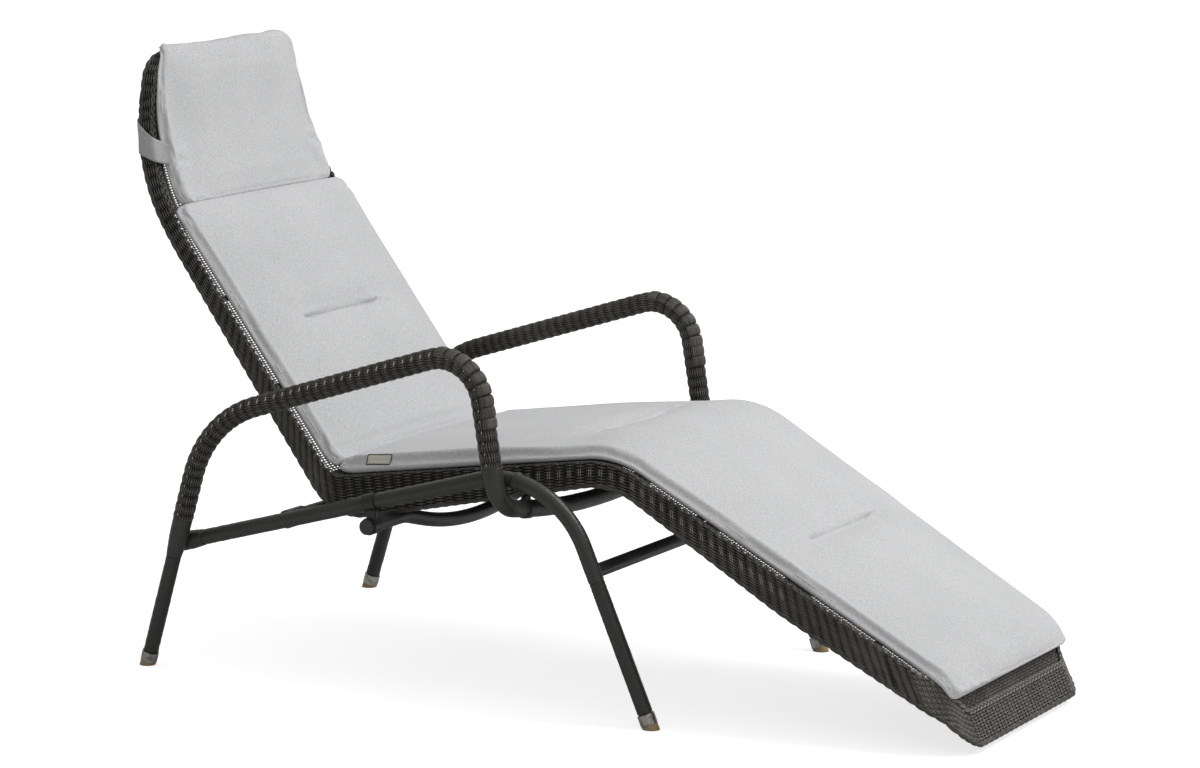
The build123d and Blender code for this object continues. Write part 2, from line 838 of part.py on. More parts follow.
deck_runs = [edge.length for edge in deck_line(0).edges()]
seat_seam_length = sum(deck_runs[:3]) + deck_runs[3] / 2


def half_width(length, start, end, start_width, end_width):
    """Half the width of a cushion section at a length, drawn in between its corners."""
    share = (length - start) / (end - start)
    return rise(start_width, end_width, share) - cushion_side_draw * math.sin(math.pi * share)


def cushion_section(start, end, sewn, widths, last):
    """Cushion section along the deck, full between its sewn lines and low at its seams."""
    marks = [start, *sewn, end]
    lengths = [start + end_round_length]
    for low, high in zip(marks, marks[1:]):
        step = (high - low) / stations_per_pillow
        lengths += [low + step * (index + 1) for index in range(stations_per_pillow)]
    lengths[-1] = end - end_round_length
    faces = [section(station(start), widths[0], seam_edge_height, seam_crown_height)]
    for length in lengths:
        low = max(mark for mark in marks[:-1] if mark < length)
        high = min(mark for mark in marks if mark >= length)
        crown = rise(sewn_crown_height, cushion_crown_height, pillow_shape((length - low) / (high - low)))
        width = half_width(length, start, end, *widths)
        faces.append(section(station(length), width, cushion_edge_height, crown))
    last_width, last_edge, last_crown = last
    faces.append(section(station(end), last_width, last_edge, last_crown))
    solid = loft(faces, ruled=True) - shell_space
    for place in sewn:
        solid -= groove(place)
    return solid


def make_head_cushion():
    """Head section, thin at its top, where it laps over the end of the shell."""
    top = shell_top_z + cushion_clearance
    lap_width = head_top_half_width - head_lap_draw
    lap = Plane(origin=(head_lower_x - head_lap, 0, top), x_dir=(0, 1, 0), z_dir=(1, 0, 0))
    turn = Plane(origin=(head_deck_x, 0, top), x_dir=(0, 1, 0), z_dir=(1, 0, -1))
    faces = [
        section(lap, lap_width, head_top_edge_height, head_top_crown_height),
        section(turn, lap_width, head_top_edge_height, head_turn_crown_height),
    ]
    for length_share, width_share, edge_share, crown_share in head_station_shares:
        plane = station((head_section_length - seam_gap / 2) * length_share)
        width = rise(head_top_half_width, head_neck_half_width, width_share)
        faces.append(section(plane, width, head_edge_height * edge_share, head_crown_height * crown_share))
    lid_x = head_deck_x + cushion_clearance
    lid = block(-overrun, lid_x, -overrun, overrun, head_deck_bend_z, top)
    return loft(faces, ruled=True) - shell_space - lid


def make_strap(head):
    """Flat strap from the head section's side edges, round the shell and across its back."""
    outer = strap_clearance + strap_thickness
    rear_x = head_lower_x - strap_clearance
    side_view = make_face(Plane.XZ * Polyline(
        (strap_lip_x, strap_front_low_z), (rear_x - outer, strap_rear_low_z),
        (rear_x - outer, strap_rear_high_z), (strap_lip_x, strap_front_high_z), close=True,
    ))
    reach = lower_line(-strap_rear_reach)
    outside = envelope(-outer) & band(deck_line(outer), reach) & beyond(rear_x - strap_thickness)
    inside = envelope(-strap_clearance) & band(deck_line(strap_clearance), reach) & beyond(rear_x)
    slant = extrude(side_view, amount=overrun, dir=(0, 1, 0), both=True)
    front = beyond(rear_x + strap_rear_reach) & block(
        -overrun, overrun, -head_top_half_width, head_top_half_width, -overrun, overrun
    )
    return (outside - inside) & slant - front - head


def make_tag(seat_start, seat_end):
    """Blank tag sewn flat on the right side of the seat section."""
    length = seat_start + tag_length_from_seam
    widths = [
        half_width(length + tag_width * share, seat_start, seat_end, seat_half_width, cushion_foot_half_width)
        for share in (-0.5, 0, 0.5)
    ]
    taper = math.degrees(math.atan((widths[0] - widths[2]) / tag_width))
    reach = widths[1] + cushion_side_bulge + cushion_clearance + tag_thickness / 2
    place = station(length) * Pos(-reach, cushion_edge_height / 2, 0) * Rot(0, taper, 0)
    return place * Box(tag_thickness, tag_height, tag_width)


def make_cushion():
    """Three cushion sections, the strap behind the head end and the side tag."""
    half_gap = seam_gap / 2
    seam_widths = (back_half_width - cushion_side_draw, seam_edge_height, seam_crown_height)
    foot_shape = (cushion_foot_half_width - foot_round_width, foot_end_height, foot_end_crown)
    back_start = head_section_length + half_gap
    back_end = seat_seam_length - half_gap
    seat_start = seat_seam_length + half_gap
    seat_end = deck_line(0).length - cushion_foot_margin
    back_tufts = [head_section_length + back_tuft_length]
    seat_tufts = [seat_seam_length + knee_tuft_length, seat_seam_length + calf_tuft_length]
    head = make_head_cushion()
    parts["head_cushion"] = head
    parts["back_cushion"] = cushion_section(
        back_start, back_end, back_tufts, (back_half_width, seat_half_width), seam_widths
    )
    parts["seat_leg_cushion"] = cushion_section(
        seat_start, seat_end, seat_tufts, (seat_half_width, cushion_foot_half_width), foot_shape
    )
    parts["cushion_strap"] = make_strap(head)
    parts["cushion_side_tag"] = make_tag(seat_start, seat_end)


make_cushion()


# Export, with the origin on the floor under the middle of the outline

outline = solids_of(*parts.values()).bounding_box()
middle = Pos(-(outline.min.X + outline.max.X) / 2, 0, -outline.min.Z)
os.makedirs("parts", exist_ok=True)
for name, shape in parts.items():
    export_step(Compound([middle * solid for solid in shape.solids()]), f"parts/{name}.step")
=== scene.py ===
"""Looks of a stacking lounge chair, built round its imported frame.

Sizes are in millimetres in the chair's own axes: X runs from the rear feet to the foot end,
Y to the sitter's left, Z up. to_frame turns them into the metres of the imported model.
"""
import json
import logging
import math
from dataclasses import dataclass, field
from enum import Enum
from typing import Sequence

import bpy
import bmesh
import numpy as np
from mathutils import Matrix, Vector


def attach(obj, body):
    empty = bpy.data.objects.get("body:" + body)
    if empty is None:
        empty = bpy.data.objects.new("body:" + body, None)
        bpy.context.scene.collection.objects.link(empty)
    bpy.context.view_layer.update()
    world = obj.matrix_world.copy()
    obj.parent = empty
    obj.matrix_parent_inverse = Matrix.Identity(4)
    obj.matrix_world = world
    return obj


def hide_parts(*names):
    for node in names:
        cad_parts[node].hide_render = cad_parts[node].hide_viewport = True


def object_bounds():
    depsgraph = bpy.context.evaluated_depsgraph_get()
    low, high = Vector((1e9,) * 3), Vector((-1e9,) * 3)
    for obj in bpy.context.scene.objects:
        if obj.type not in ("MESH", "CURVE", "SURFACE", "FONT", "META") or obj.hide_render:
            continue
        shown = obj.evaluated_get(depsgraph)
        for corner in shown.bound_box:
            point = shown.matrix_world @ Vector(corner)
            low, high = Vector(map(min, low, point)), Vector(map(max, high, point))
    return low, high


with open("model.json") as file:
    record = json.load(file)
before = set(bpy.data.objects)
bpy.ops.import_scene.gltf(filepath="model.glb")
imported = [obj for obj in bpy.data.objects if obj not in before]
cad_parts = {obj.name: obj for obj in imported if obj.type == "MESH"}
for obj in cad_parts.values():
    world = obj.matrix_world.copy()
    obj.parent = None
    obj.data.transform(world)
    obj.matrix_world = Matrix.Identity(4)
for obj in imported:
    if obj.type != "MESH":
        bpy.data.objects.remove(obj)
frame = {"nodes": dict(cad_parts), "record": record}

CAD_LOW, CAD_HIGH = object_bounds()
MM = 0.001
FOOT_END_X = 1440.0
ORIGIN = np.array([FOOT_END_X - CAD_HIGH.x / MM, 0.0, 0.0])
STRAND_TONES = (-0.25, 0.05)
LOG = logging.getLogger("lounge_chair")

Array = np.ndarray


class Body(str, Enum):
    """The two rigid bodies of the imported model."""

    FRAME = "chair_frame"
    CUSHION = "cushion"


class Side(Enum):
    """The sitter's left and right, as a sign along Y."""

    LEFT = 1.0
    RIGHT = -1.0


# Paths

def to_frame(points: Array) -> Array:
    """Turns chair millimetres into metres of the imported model."""
    return (np.asarray(points, float) - ORIGIN) * MM


def unit(vectors: Array) -> Array:
    """Vectors of length 1, along the last axis."""
    return vectors / np.maximum(np.linalg.norm(vectors, axis=-1, keepdims=True), 1e-12)


def lengths_of(path: Array) -> Array:
    """Length along a path up to each of its points."""
    return np.concatenate([[0.0], np.cumsum(np.linalg.norm(np.diff(path, axis=0), axis=1))])


def read_at(places: Array, known: Array, rows: Array) -> Array:
    """Rows that belong to known places, read at other places between them."""
    return np.stack([np.interp(places, known, column) for column in rows.T], axis=1)


def at_lengths(path: Array, lengths: Array) -> Array:
    """Points at lengths along a path."""
    return read_at(lengths, lengths_of(path), path)


def evenly(path: Array, step: float) -> Array:
    """A path's points again, evenly spaced about a step apart, with both ends kept."""
    total = lengths_of(path)[-1]
    return at_lengths(path, np.linspace(0.0, total, max(2, round(total / step) + 1)))


def nearest(line: Array, x: float, z: float) -> int:
    """Number of the point of a side-view line that is nearest to a place."""
    return int(np.argmin(np.hypot(line[:, 0] - x, line[:, 2] - z)))


def smoothed(values: Array, window: int) -> Array:
    """Running mean of a row of values, with its ends held."""
    padded = np.pad(values, window // 2, mode="edge")
    return np.convolve(padded, np.ones(window) / window, mode="valid")[:len(values)]


def stretches(chosen: Array) -> list[Array]:
    """Numbers of the places in each unbroken run of at least two chosen ones."""
    edges = np.flatnonzero(np.diff(np.concatenate([[False], chosen, [False]]).astype(int)))
    return [np.arange(start, end) for start, end in zip(edges[::2], edges[1::2]) if end - start > 1]


def ring_stretches(chosen: Array) -> list[Array]:
    """Unbroken runs round a ring, each one place longer than what is chosen.

    Args:
        chosen: whether each place counts.

    Returns:
        The numbers of the places in each run.
    """
    count = len(chosen)
    if chosen.all():
        return [np.arange(count + 1) % count]
    gap = int(np.argmin(chosen))
    return [(np.append(run, run[-1] + 1) + gap) % count for run in stretches(np.roll(chosen, -gap))]


def rounded_path(corners: Sequence[Sequence[float]], radii: Sequence[float], step: float) -> Array:
    """Straight runs joined by tangent arcs.

    Args:
        corners: the path's corners.
        radii: one radius for each corner between the ends.
        step: spacing of the points.

    Returns:
        Evenly spaced points.
    """
    corners = np.asarray(corners, float)
    pieces = [corners[:1]]
    for before, corner, after, radius in zip(corners, corners[1:], corners[2:], radii):
        into, out = unit(corner - before), unit(after - corner)
        turn = math.acos(float(np.clip(into @ out, -1.0, 1.0)))
        inward = unit(out - into * (into @ out))
        centre = corner - into * (radius * math.tan(turn / 2)) + inward * radius
        angles = np.linspace(0.0, turn, max(4, round(radius * turn / step) + 2))[:, None]
        pieces.append(centre + radius * (np.sin(angles) * into - np.cos(angles) * inward))
    pieces.append(corners[-1:])
    return evenly(np.vstack(pieces), step)


def directions_of(path: Array, closed: bool = False) -> Array:
    """Direction of a path at each of its points.

    Args:
        path: points, one a row.
        closed: whether the last point leads back to the first.

    Returns:
        Vectors of length 1.
    """
    ahead = np.roll(path, -1, axis=0) - np.roll(path, 1, axis=0)
    if not closed:
        ahead[0], ahead[-1] = path[1] - path[0], path[-1] - path[-2]
    return unit(ahead)


def carried_normals(path: Array, first: Sequence[float]) -> Array:
    """Normals carried along a path without twist.

    Args:
        path: points, one a row.
        first: roughly the normal at the first point.

    Returns:
        One normal for each point.
    """
    normals = np.empty_like(path)
    normal = np.asarray(first, float)
    for index, direction in enumerate(directions_of(path)):
        normal = unit(normal - direction * (normal @ direction))
        normals[index] = normal
    return normals


@dataclass(frozen=True)
class Stance:
    """Where the legs, arms and rails of the frame run."""

    rear_foot_half_width: float = 338.0
    front_foot_half_width: float = 297.0
    foot_spacing: float = 930.0
    arm_half_width: float = 345.0
    leg_bend: tuple[float, float] = (133.0, 424.6)
    arm_bend: tuple[float, float] = (640.6, 583.5)
    post_foot_x: float = 683.0
    bend_radii: tuple[float, float, float] = (190.0, 75.0, 55.0)
    rail_start: tuple[float, float] = (64.0, 211.2)
    rail_bend: tuple[float, float] = (768.0, 406.5)
    rail_bend_radius: float = 155.0
    rail_offset: float = 25.7
    front_cross_half_length: float = 285.0
    front_cross_z: float = 322.0
    front_cross_bow: float = 25.0
    rear_cross_x: float = 258.0

    @property
    def front_cross_radius(self) -> float:
        """Radius of the bowed front cross tube."""
        return (self.front_cross_half_length**2 + self.front_cross_bow**2) / (2 * self.front_cross_bow)

    @property
    def post_foot_z(self) -> float:
        """Height where the line of the front cross tube meets the line of a post."""
        slope = self.front_cross_half_length / (self.front_cross_radius - self.front_cross_bow)
        return self.front_cross_z + slope * (self.arm_half_width - self.front_cross_half_length)

    def arm_path(self, side: Side) -> Array:
        """Centre line of an arm loop.

        Args:
            side: which arm.

        Returns:
            Points from the rear foot, over the arm and down to the front cross tube.
        """
        widths = (self.rear_foot_half_width, *[self.arm_half_width] * 3, self.front_cross_half_length)
        places = ((0.0, 0.0), self.leg_bend, self.arm_bend, (self.post_foot_x, self.post_foot_z),
                  (self.post_foot_x, self.front_cross_z))
        corners = [(x, side.value * y, z) for (x, z), y in zip(places, widths)]
        return rounded_path(corners, self.bend_radii, 1.0)

    def rail_corners(self, side: Side) -> Array:
        """Corners of a side rail.

        Args:
            side: which rail.

        Returns:
            Points from the rear leg, along the rail and down to the front foot.
        """
        lean = (self.arm_half_width - self.rear_foot_half_width) / self.leg_bend[1]
        leg_y = self.rear_foot_half_width + lean * self.rail_start[1]
        widths = (leg_y - self.rail_offset, self.arm_half_width - self.rail_offset,
                  self.front_foot_half_width)
        places = (self.rail_start, self.rail_bend, (self.foot_spacing, 0.0))
        return np.array([(x, side.value * y, z) for (x, z), y in zip(places, widths)])

    def rail_path(self, side: Side) -> Array:
        """Centre line of a side rail and its front leg."""
        return rounded_path(self.rail_corners(side), [self.rail_bend_radius], 1.0)

    def rail_place(self, side: Side, x: float) -> Array:
        """Point on the straight run of a rail, at a place along the chair."""
        start, bend, _ = self.rail_corners(side)
        return start + (bend - start) * ((x - start[0]) / (bend[0] - start[0]))

    def front_cross_path(self) -> Array:
        """Bowed centre line of the front cross tube.

        Returns:
            Points from the right to the left.
        """
        radius = self.front_cross_radius
        reach = math.asin(self.front_cross_half_length / radius)
        angles = np.linspace(-reach, reach, 200)
        centre_z = self.front_cross_z - self.front_cross_bow + radius
        return np.stack([np.full(len(angles), self.post_foot_x), radius * np.sin(angles),
                         centre_z - radius * np.cos(angles)], axis=1)


# Meshes

def grid(far: Array, girth: Array, rows: int, flip: bool = False) -> tuple[Array, Array]:
    """Quads over rows of points that close up round their columns, with pattern coordinates.

    Args:
        far: distance of each row, and of the first again where the rows close up too.
        girth: distance round of each column, and of the first again.
        rows: number of rows.
        flip: whether the quads face the other way.

    Returns:
        Four point numbers for each quad, and a pair of metres for each of those.
    """
    ahead, beside = np.array([(0, 0, 1, 1), (0, 1, 1, 0)])[::-1 if flip else 1]
    columns = len(girth) - 1
    row = np.arange(len(far) - 1)[:, None, None] + ahead
    column = np.arange(columns)[:, None] + beside
    places = np.stack(np.broadcast_arrays(far[row], girth[column]), axis=-1)
    return (row % rows * columns + column % columns).reshape(-1, 4), places.reshape(-1, 2) * MM


@dataclass
class Stock:
    """Points and faces of many swept bars, gathered for one object."""

    points: list[Array] = field(default_factory=list)
    quads: list[Array] = field(default_factory=list)
    caps: list[list[int]] = field(default_factory=list)
    places: list[Array] = field(default_factory=list)
    tones: list[Array] = field(default_factory=list)
    count: int = 0

    def tube(self, path: Array, normals: Array, size: float | Array, sides: int,
             width: float | Array | None = None, closed: bool = False, tone: float | Array = 0.5) -> None:
        """Adds a bar swept along a path.

        Args:
            path: points in chair millimetres.
            normals: roughly square to the path, one for each point or one for all.
            size: half thickness along the normals, one value or one a point.
            sides: number of faces round the bar.
            width: half width across the normals; the same as size if it isn't given.
            closed: whether the bar is a ring.
            tone: share between the finish's darkest and lightest colour, one value or one a point.
        """
        along = directions_of(path, closed)
        normals = unit(normals - along * np.sum(normals * along, axis=1, keepdims=True))
        across = np.cross(along, normals)
        angles = 2 * math.pi * np.arange(sides) / sides
        rings = len(path)
        high, wide = (np.broadcast_to(np.reshape(value, (-1, 1)), (rings, sides))
                      for value in (size, size if width is None else width))
        ring = (path[:, None] + (high * np.cos(angles))[..., None] * normals[:, None]
                + (wide * np.sin(angles))[..., None] * across[:, None])
        far = lengths_of(np.vstack([path, path[:1]]) if closed else path)
        girth = 2 * math.pi * float(np.mean(high)) * np.arange(sides + 1) / sides
        quads, places = grid(far, girth, rings)
        self.points.append(to_frame(ring.reshape(-1, 3)))
        self.quads.append(quads + self.count)
        self.places.append(places)
        self.tones.append(np.repeat(np.broadcast_to(tone, rings), sides))
        if not closed:
            self.caps.append((np.arange(sides)[::-1] + self.count).tolist())
            self.caps.append((np.arange(sides) + self.count + (rings - 1) * sides).tolist())
        self.count += rings * sides

    def tubes(self, runs: list[Array], path: Array, normals: Array, size: float | Array, sides: int,
              width: float | None = None, tone: float | Array = 0.5) -> None:
        """Adds the same bar along some runs of a path.

        Args:
            runs: numbers of the path's points in each run.
            path, normals, size, sides, width, tone: as for tube.
        """
        size, tone = np.broadcast_to(size, len(path)), np.broadcast_to(tone, len(path))
        for run in runs:
            self.tube(path[run], normals[run], size[run], sides, width, tone=tone[run])

    def make(self, name: str, finish: bpy.types.Material, body: Body, slot: str,
             replaces: Sequence[str] = ()) -> bpy.types.Object:
        """Makes one object of all that was added.

        Args:
            name, finish, body, replaces: as for make_piece; slot: not used.

        Returns:
            The new object.
        """
        faces = np.vstack(self.quads).tolist() + self.caps
        cap_places = np.zeros((sum(len(cap) for cap in self.caps), 2))
        return make_piece(name, np.vstack(self.points), faces, finish, body, replaces,
                          np.vstack([*self.places, cap_places]), np.concatenate(self.tones))


def make_piece(name: str, points: Array, faces: list, finish: bpy.types.Material, body: Body,
               replaces: Sequence[str] = (), places: Array | None = None,
               tones: Array | None = None) -> bpy.types.Object:
    """Makes a smooth mesh object that rides on a body.

    Args:
        name: the object's name.
        points: its points, in the frame's metres.
        faces: its faces, as point numbers.
        finish: its material.
        body: the body that it rides on.
        replaces: CAD nodes that it stands for.
        places: pattern coordinates in metres, one pair for each face corner.
        tones: one value for each point, from dark to light.

    Returns:
        The new object.
    """
    mesh = bpy.data.meshes.new(name)
    mesh.from_pydata(points, [], faces)
    if places is not None:
        mesh.uv_layers.new(name="Pattern").data.foreach_set("uv", places.astype(np.float32).ravel())
    if tones is not None:
        mark_points(mesh, "tone", tones)
    mesh.polygons.foreach_set("use_smooth", np.ones(len(mesh.polygons), bool))
    mesh.materials.append(finish)
    mesh.update()
    piece = bpy.data.objects.new(name, mesh)
    bpy.context.scene.collection.objects.link(piece)
    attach(piece, body.value)
    if replaces:
        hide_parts(*replaces)
    LOG.info("%s: %d points", name, len(points))
    return piece


def mark_points(mesh: bpy.types.Mesh, name: str, values: Array) -> None:
    """Gives a mesh one named value for each point."""
    mesh.attributes.new(name, "FLOAT", "POINT").data.foreach_set("value", values.astype(np.float32).ravel())


def values_of(data: bpy.types.bpy_prop_collection, name: str, each: int = 1) -> Array:
    """Reads a named value from each item of a mesh's data.

    Args:
        data: points, or the data of an attribute.
        name: the value's name.
        each: how many numbers the value has.

    Returns:
        A row of numbers, or one row for each item.
    """
    values = np.empty(len(data) * each)
    data.foreach_get(name, values)
    return values.reshape(-1, each) if each > 1 else values


# Finishes

def linear(colour: str) -> tuple[float, float, float, float]:
    """Turns an sRGB hex colour into linear red, green and blue, with an alpha of 1."""
    shares = [int(colour[i:i + 2], 16) / 255 for i in (1, 3, 5)]
    return *(s / 12.92 if s <= 0.04045 else ((s + 0.055) / 1.055) ** 2.4 for s in shares), 1.0


def add_node(tree: bpy.types.NodeTree, kind: str, settings: dict | None = None,
             links: dict | None = None) -> bpy.types.Node:
    """Adds a node with its settings and links.

    Args:
        tree: the node tree.
        kind: the node's type.
        settings: values by the name of a setting, or by the name or number of an input.
        links: by the name or number of an input, the socket that feeds it, or a node for its first output.

    Returns:
        The new node.
    """
    node = tree.nodes.new(kind)
    for name, value in (settings or {}).items():
        if isinstance(name, int) or name in node.inputs:
            node.inputs[name].default_value = value
        else:
            setattr(node, name, value)
    for name, source in (links or {}).items():
        tree.links.new(source.outputs[0] if isinstance(source, bpy.types.Node) else source, node.inputs[name])
    return node


def new_finish(name: str) -> tuple[bpy.types.Material, bpy.types.NodeTree, bpy.types.Node]:
    """Starts a material.

    Args:
        name: the material's name.

    Returns:
        The material, its node tree and its Principled shader.
    """
    material = bpy.data.materials.new(name)
    material.use_nodes = True
    tree = material.node_tree
    return material, tree, tree.nodes["Principled BSDF"]


def per_metre(size: float) -> float:
    """How many times a pattern of a size in millimetres repeats in a metre."""
    return 1 / (size * MM)


@dataclass(frozen=True)
class Finish:
    """What every finish has: a name, a dark and a light colour, and a roughness."""

    name: str
    dark: str
    light: str
    roughness: float = 0.9

    def dress(self, tree: bpy.types.NodeTree, tones: tuple, relief: tuple, rough: tuple = (),
              **values: float) -> bpy.types.NodeSocket:
        """Gives the shader its colour, relief and roughness.

        Args:
            tree: the material's node tree.
            tones: pattern that mixes the two colours, with its values for the dark and the light one.
            relief: pattern of the surface's height, with its strength and its depth.
            rough: pattern of the roughness, with how far it goes below and above the finish's own.
            values: uniform values of the shader, by name with underscores for spaces.

        Returns:
            The colour.
        """
        shader = tree.nodes["Principled BSDF"]
        factor = add_node(tree, "ShaderNodeMapRange", {1: tones[1], 2: tones[2]}, {0: tones[0]})
        colour = add_node(tree, "ShaderNodeMix",
                          {"data_type": "RGBA", 6: linear(self.dark), 7: linear(self.light)}, {0: factor})
        bump = add_node(tree, "ShaderNodeBump", {"Strength": relief[1], "Distance": relief[2] * MM},
                        {"Height": relief[0]})
        tree.links.new(colour.outputs[2], shader.inputs["Base Color"])
        tree.links.new(bump.outputs[0], shader.inputs["Normal"])
        if rough:
            spread = {1: 0.3, 2: 0.7, 3: self.roughness - rough[1], 4: self.roughness + rough[2]}
            satin = add_node(tree, "ShaderNodeMapRange", spread, {0: rough[0]})
            tree.links.new(satin.outputs[0], shader.inputs["Roughness"])
        for name, value in values.items():
            shader.inputs[name.replace("_", " ")].default_value = value
        return colour.outputs[2]


@dataclass(frozen=True)
class ExtrudedResin(Finish):
    """Extruded polyethylene cane and strand, coloured in the mass: satin, with fine drawn lines and a painted
    pale glint.
    """

    # Pale colour of a painted glint, reached at the highest tones.
    glint_and_darker_bottom: str = "#c9c6bc"
    glint_tones: tuple[float, float] = (1.4, 2.2)
    line_spacing: float = 0.7
    line_length: float = 30.0
    line_depth: float = 0.06
    cloud_size: float = 45.0

    def build(self) -> bpy.types.Material:
        """Makes the material.

        Returns:
            The new material.
        """
        material, tree, shader = new_finish(self.name)
        pattern = add_node(tree, "ShaderNodeUVMap", {"uv_map": "Pattern"})
        # The tone of each point carries painted highlight and shade, besides each strand's own random tone.
        tone = add_node(tree, "ShaderNodeAttribute", {"attribute_name": "tone"}).outputs["Fac"]
        place = add_node(tree, "ShaderNodeTexCoord").outputs["Object"]
        # Fine lines run along each strand, where the die drew it, about twice as coarse as real ones.
        stretch = add_node(tree, "ShaderNodeMapping",
                           {"Scale": (per_metre(self.line_length), per_metre(self.line_spacing), 1.0)},
                           {"Vector": pattern})
        lines = add_node(tree, "ShaderNodeTexNoise", {"Scale": 1.0, "Detail": 2.0}, {"Vector": stretch})
        # Soft clouds of dust and sun make patches a little paler.
        cloud = add_node(tree, "ShaderNodeTexNoise", {"Scale": per_metre(self.cloud_size), "Detail": 3.0},
                         {"Vector": place})
        mixed = add_node(tree, "ShaderNodeMath", {"operation": "MULTIPLY_ADD", 1: 0.6}, {0: cloud, 2: tone})
        colour = self.dress(tree, (mixed, 0.15, 1.3), (lines, 0.5, self.line_depth), (lines, 0.07, 0.1),
                            IOR=1.51)
        # Painted highlight: the highest tones, given to hoop ticks and wall stitches, mix towards a pale
        # glint colour.
        glint = add_node(tree, "ShaderNodeMapRange", {1: self.glint_tones[0], 2: self.glint_tones[1]}, {0: tone})
        glinting = add_node(tree, "ShaderNodeMix", {"data_type": "RGBA", 7: linear(self.glint_and_darker_bottom)},
                          {0: glint, 6: colour})
        tree.links.new(glinting.outputs[2], shader.inputs["Base Color"])
        return material


@dataclass(frozen=True)
class PowderCoatedAluminium(Finish):
    """Bent aluminium tube and bar under baked powder: even satin with a fine orange peel."""

    peel_size: float = 1.6
    peel_depth: float = 0.05
    cloud_size: float = 60.0

    def build(self) -> bpy.types.Material:
        """Makes the material.

        Returns:
            The new material.
        """
        material, tree, _ = new_finish(self.name)
        place = add_node(tree, "ShaderNodeTexCoord").outputs["Object"]
        # The cured powder keeps a shallow ripple, drawn at about its real size, under wide faint clouds.
        peel, cloud = (add_node(tree, "ShaderNodeTexNoise", {"Scale": per_metre(size), "Detail": detail},
                                {"Vector": place})
                       for size, detail in ((self.peel_size, 1.0), (self.cloud_size, 3.0)))
        self.dress(tree, (cloud, 0.35, 0.65), (peel, 0.4, self.peel_depth), (cloud, 0.05, 0.08), IOR=1.5)
        return material


@dataclass(frozen=True)
class TurnedStainlessSteel(Finish):
    """Stainless steel ferrules, turned on a lathe and brushed: fine rings and a soft shine."""

    ring_spacing: float = 0.8
    ring_depth: float = 0.04
    stain_size: float = 9.0

    def build(self) -> bpy.types.Material:
        """Makes the material.

        Returns:
            The new material.
        """
        material, tree, _ = new_finish(self.name)
        place = add_node(tree, "ShaderNodeTexCoord").outputs["Object"]
        # The tool leaves rings round the leg, so the noise is drawn out flat.
        stretch = add_node(tree, "ShaderNodeMapping", {"Scale": (8.0, 8.0, per_metre(self.ring_spacing))},
                           {"Vector": place})
        rings = add_node(tree, "ShaderNodeTexNoise", {"Scale": 1.0, "Detail": 3.0}, {"Vector": stretch})
        stain = add_node(tree, "ShaderNodeTexNoise", {"Scale": per_metre(self.stain_size), "Detail": 4.0},
                         {"Vector": place})
        self.dress(tree, (stain, 0.35, 0.6), (rings, 0.5, self.ring_depth), (rings, 0.08, 0.1), Metallic=1.0)
        return material


@dataclass(frozen=True)
class MouldedPlastic(Finish):
    """Injection-moulded plastic: fine spark grain, darker where it meets the floor."""

    darker_bottom_height: float = 0.1
    grain_size: float = 0.9
    grain_depth: float = 0.05
    stain_size: float = 7.0

    def build(self) -> bpy.types.Material:
        """Makes the material.

        Returns:
            The new material.
        """
        material, tree, _ = new_finish(self.name)
        place = add_node(tree, "ShaderNodeTexCoord").outputs["Object"]
        grain, stain = (add_node(tree, "ShaderNodeTexNoise", {"Scale": per_metre(size), "Detail": detail},
                                 {"Vector": place})
                        for size, detail in ((self.grain_size, 2.0), (self.stain_size, 4.0)))
        height = add_node(tree, "ShaderNodeSeparateXYZ", {}, {0: place}).outputs[2]
        # The lowest millimetres are darker, unevenly.
        low = add_node(tree, "ShaderNodeMapRange", {2: self.darker_bottom_height * MM, 4: 0.55}, {0: height})
        glint_and_darker_bottom = add_node(tree, "ShaderNodeMath", {"operation": "ADD", "use_clamp": True}, {0: low, 1: stain})
        self.dress(tree, (glint_and_darker_bottom, 0.3, 0.9), (grain, 0.5, self.grain_depth), (stain, 0.06, 0.08), IOR=1.49)
        return material


@dataclass(frozen=True)
class SpunAcrylicCloth(Finish):
    """Woven cloth of spun, solution-dyed acrylic yarn: heathered greys, matt, with a faint nap."""

    yarn_spacing: float = 1.5
    yarn_length: float = 7.0
    fleck_size: float = 2.4
    yarn_depth: float = 0.22
    shade_size: float = 120.0

    def build(self) -> bpy.types.Material:
        """Makes the material.

        Returns:
            The new material.
        """
        material, tree, _ = new_finish(self.name)
        pattern = add_node(tree, "ShaderNodeUVMap", {"uv_map": "Pattern"})
        place = add_node(tree, "ShaderNodeTexCoord").outputs["Object"]
        # Warp and weft yarns, drawn about twice as coarse as the real 0.7 mm spacing so that they show.
        thin, long = per_metre(self.yarn_spacing), per_metre(self.yarn_length)
        stretched = (add_node(tree, "ShaderNodeMapping", {"Scale": scale}, {"Vector": pattern})
                     for scale in ((long, thin, 1.0), (thin, long, 1.0)))
        weft, warp = (add_node(tree, "ShaderNodeTexNoise", {"Scale": 1.0, "Detail": 2.0}, {"Vector": vector})
                      for vector in stretched)
        cloth = add_node(tree, "ShaderNodeMath", {"operation": "ADD"}, {0: weft, 1: warp})
        # Fibres of several greys are spun together, which gives the flecks of a heather.
        fleck, shade = (add_node(tree, "ShaderNodeTexNoise", {"Scale": per_metre(size), "Detail": detail},
                                 {"Vector": place})
                        for size, detail in ((self.fleck_size, 3.0), (self.shade_size, 2.0)))
        heather = add_node(tree, "ShaderNodeMath", {"operation": "ADD"}, {0: cloth, 1: fleck})
        shaded = add_node(tree, "ShaderNodeMath", {"operation": "MULTIPLY_ADD", 1: 0.35},
                          {0: shade, 2: heather})
        self.dress(tree, (shaded, 1.2, 2.15), (cloth, 0.6, self.yarn_depth), Roughness=self.roughness,
                   Sheen_Weight=0.12, Sheen_Roughness=0.5, Specular_IOR_Level=0.2)
        return material


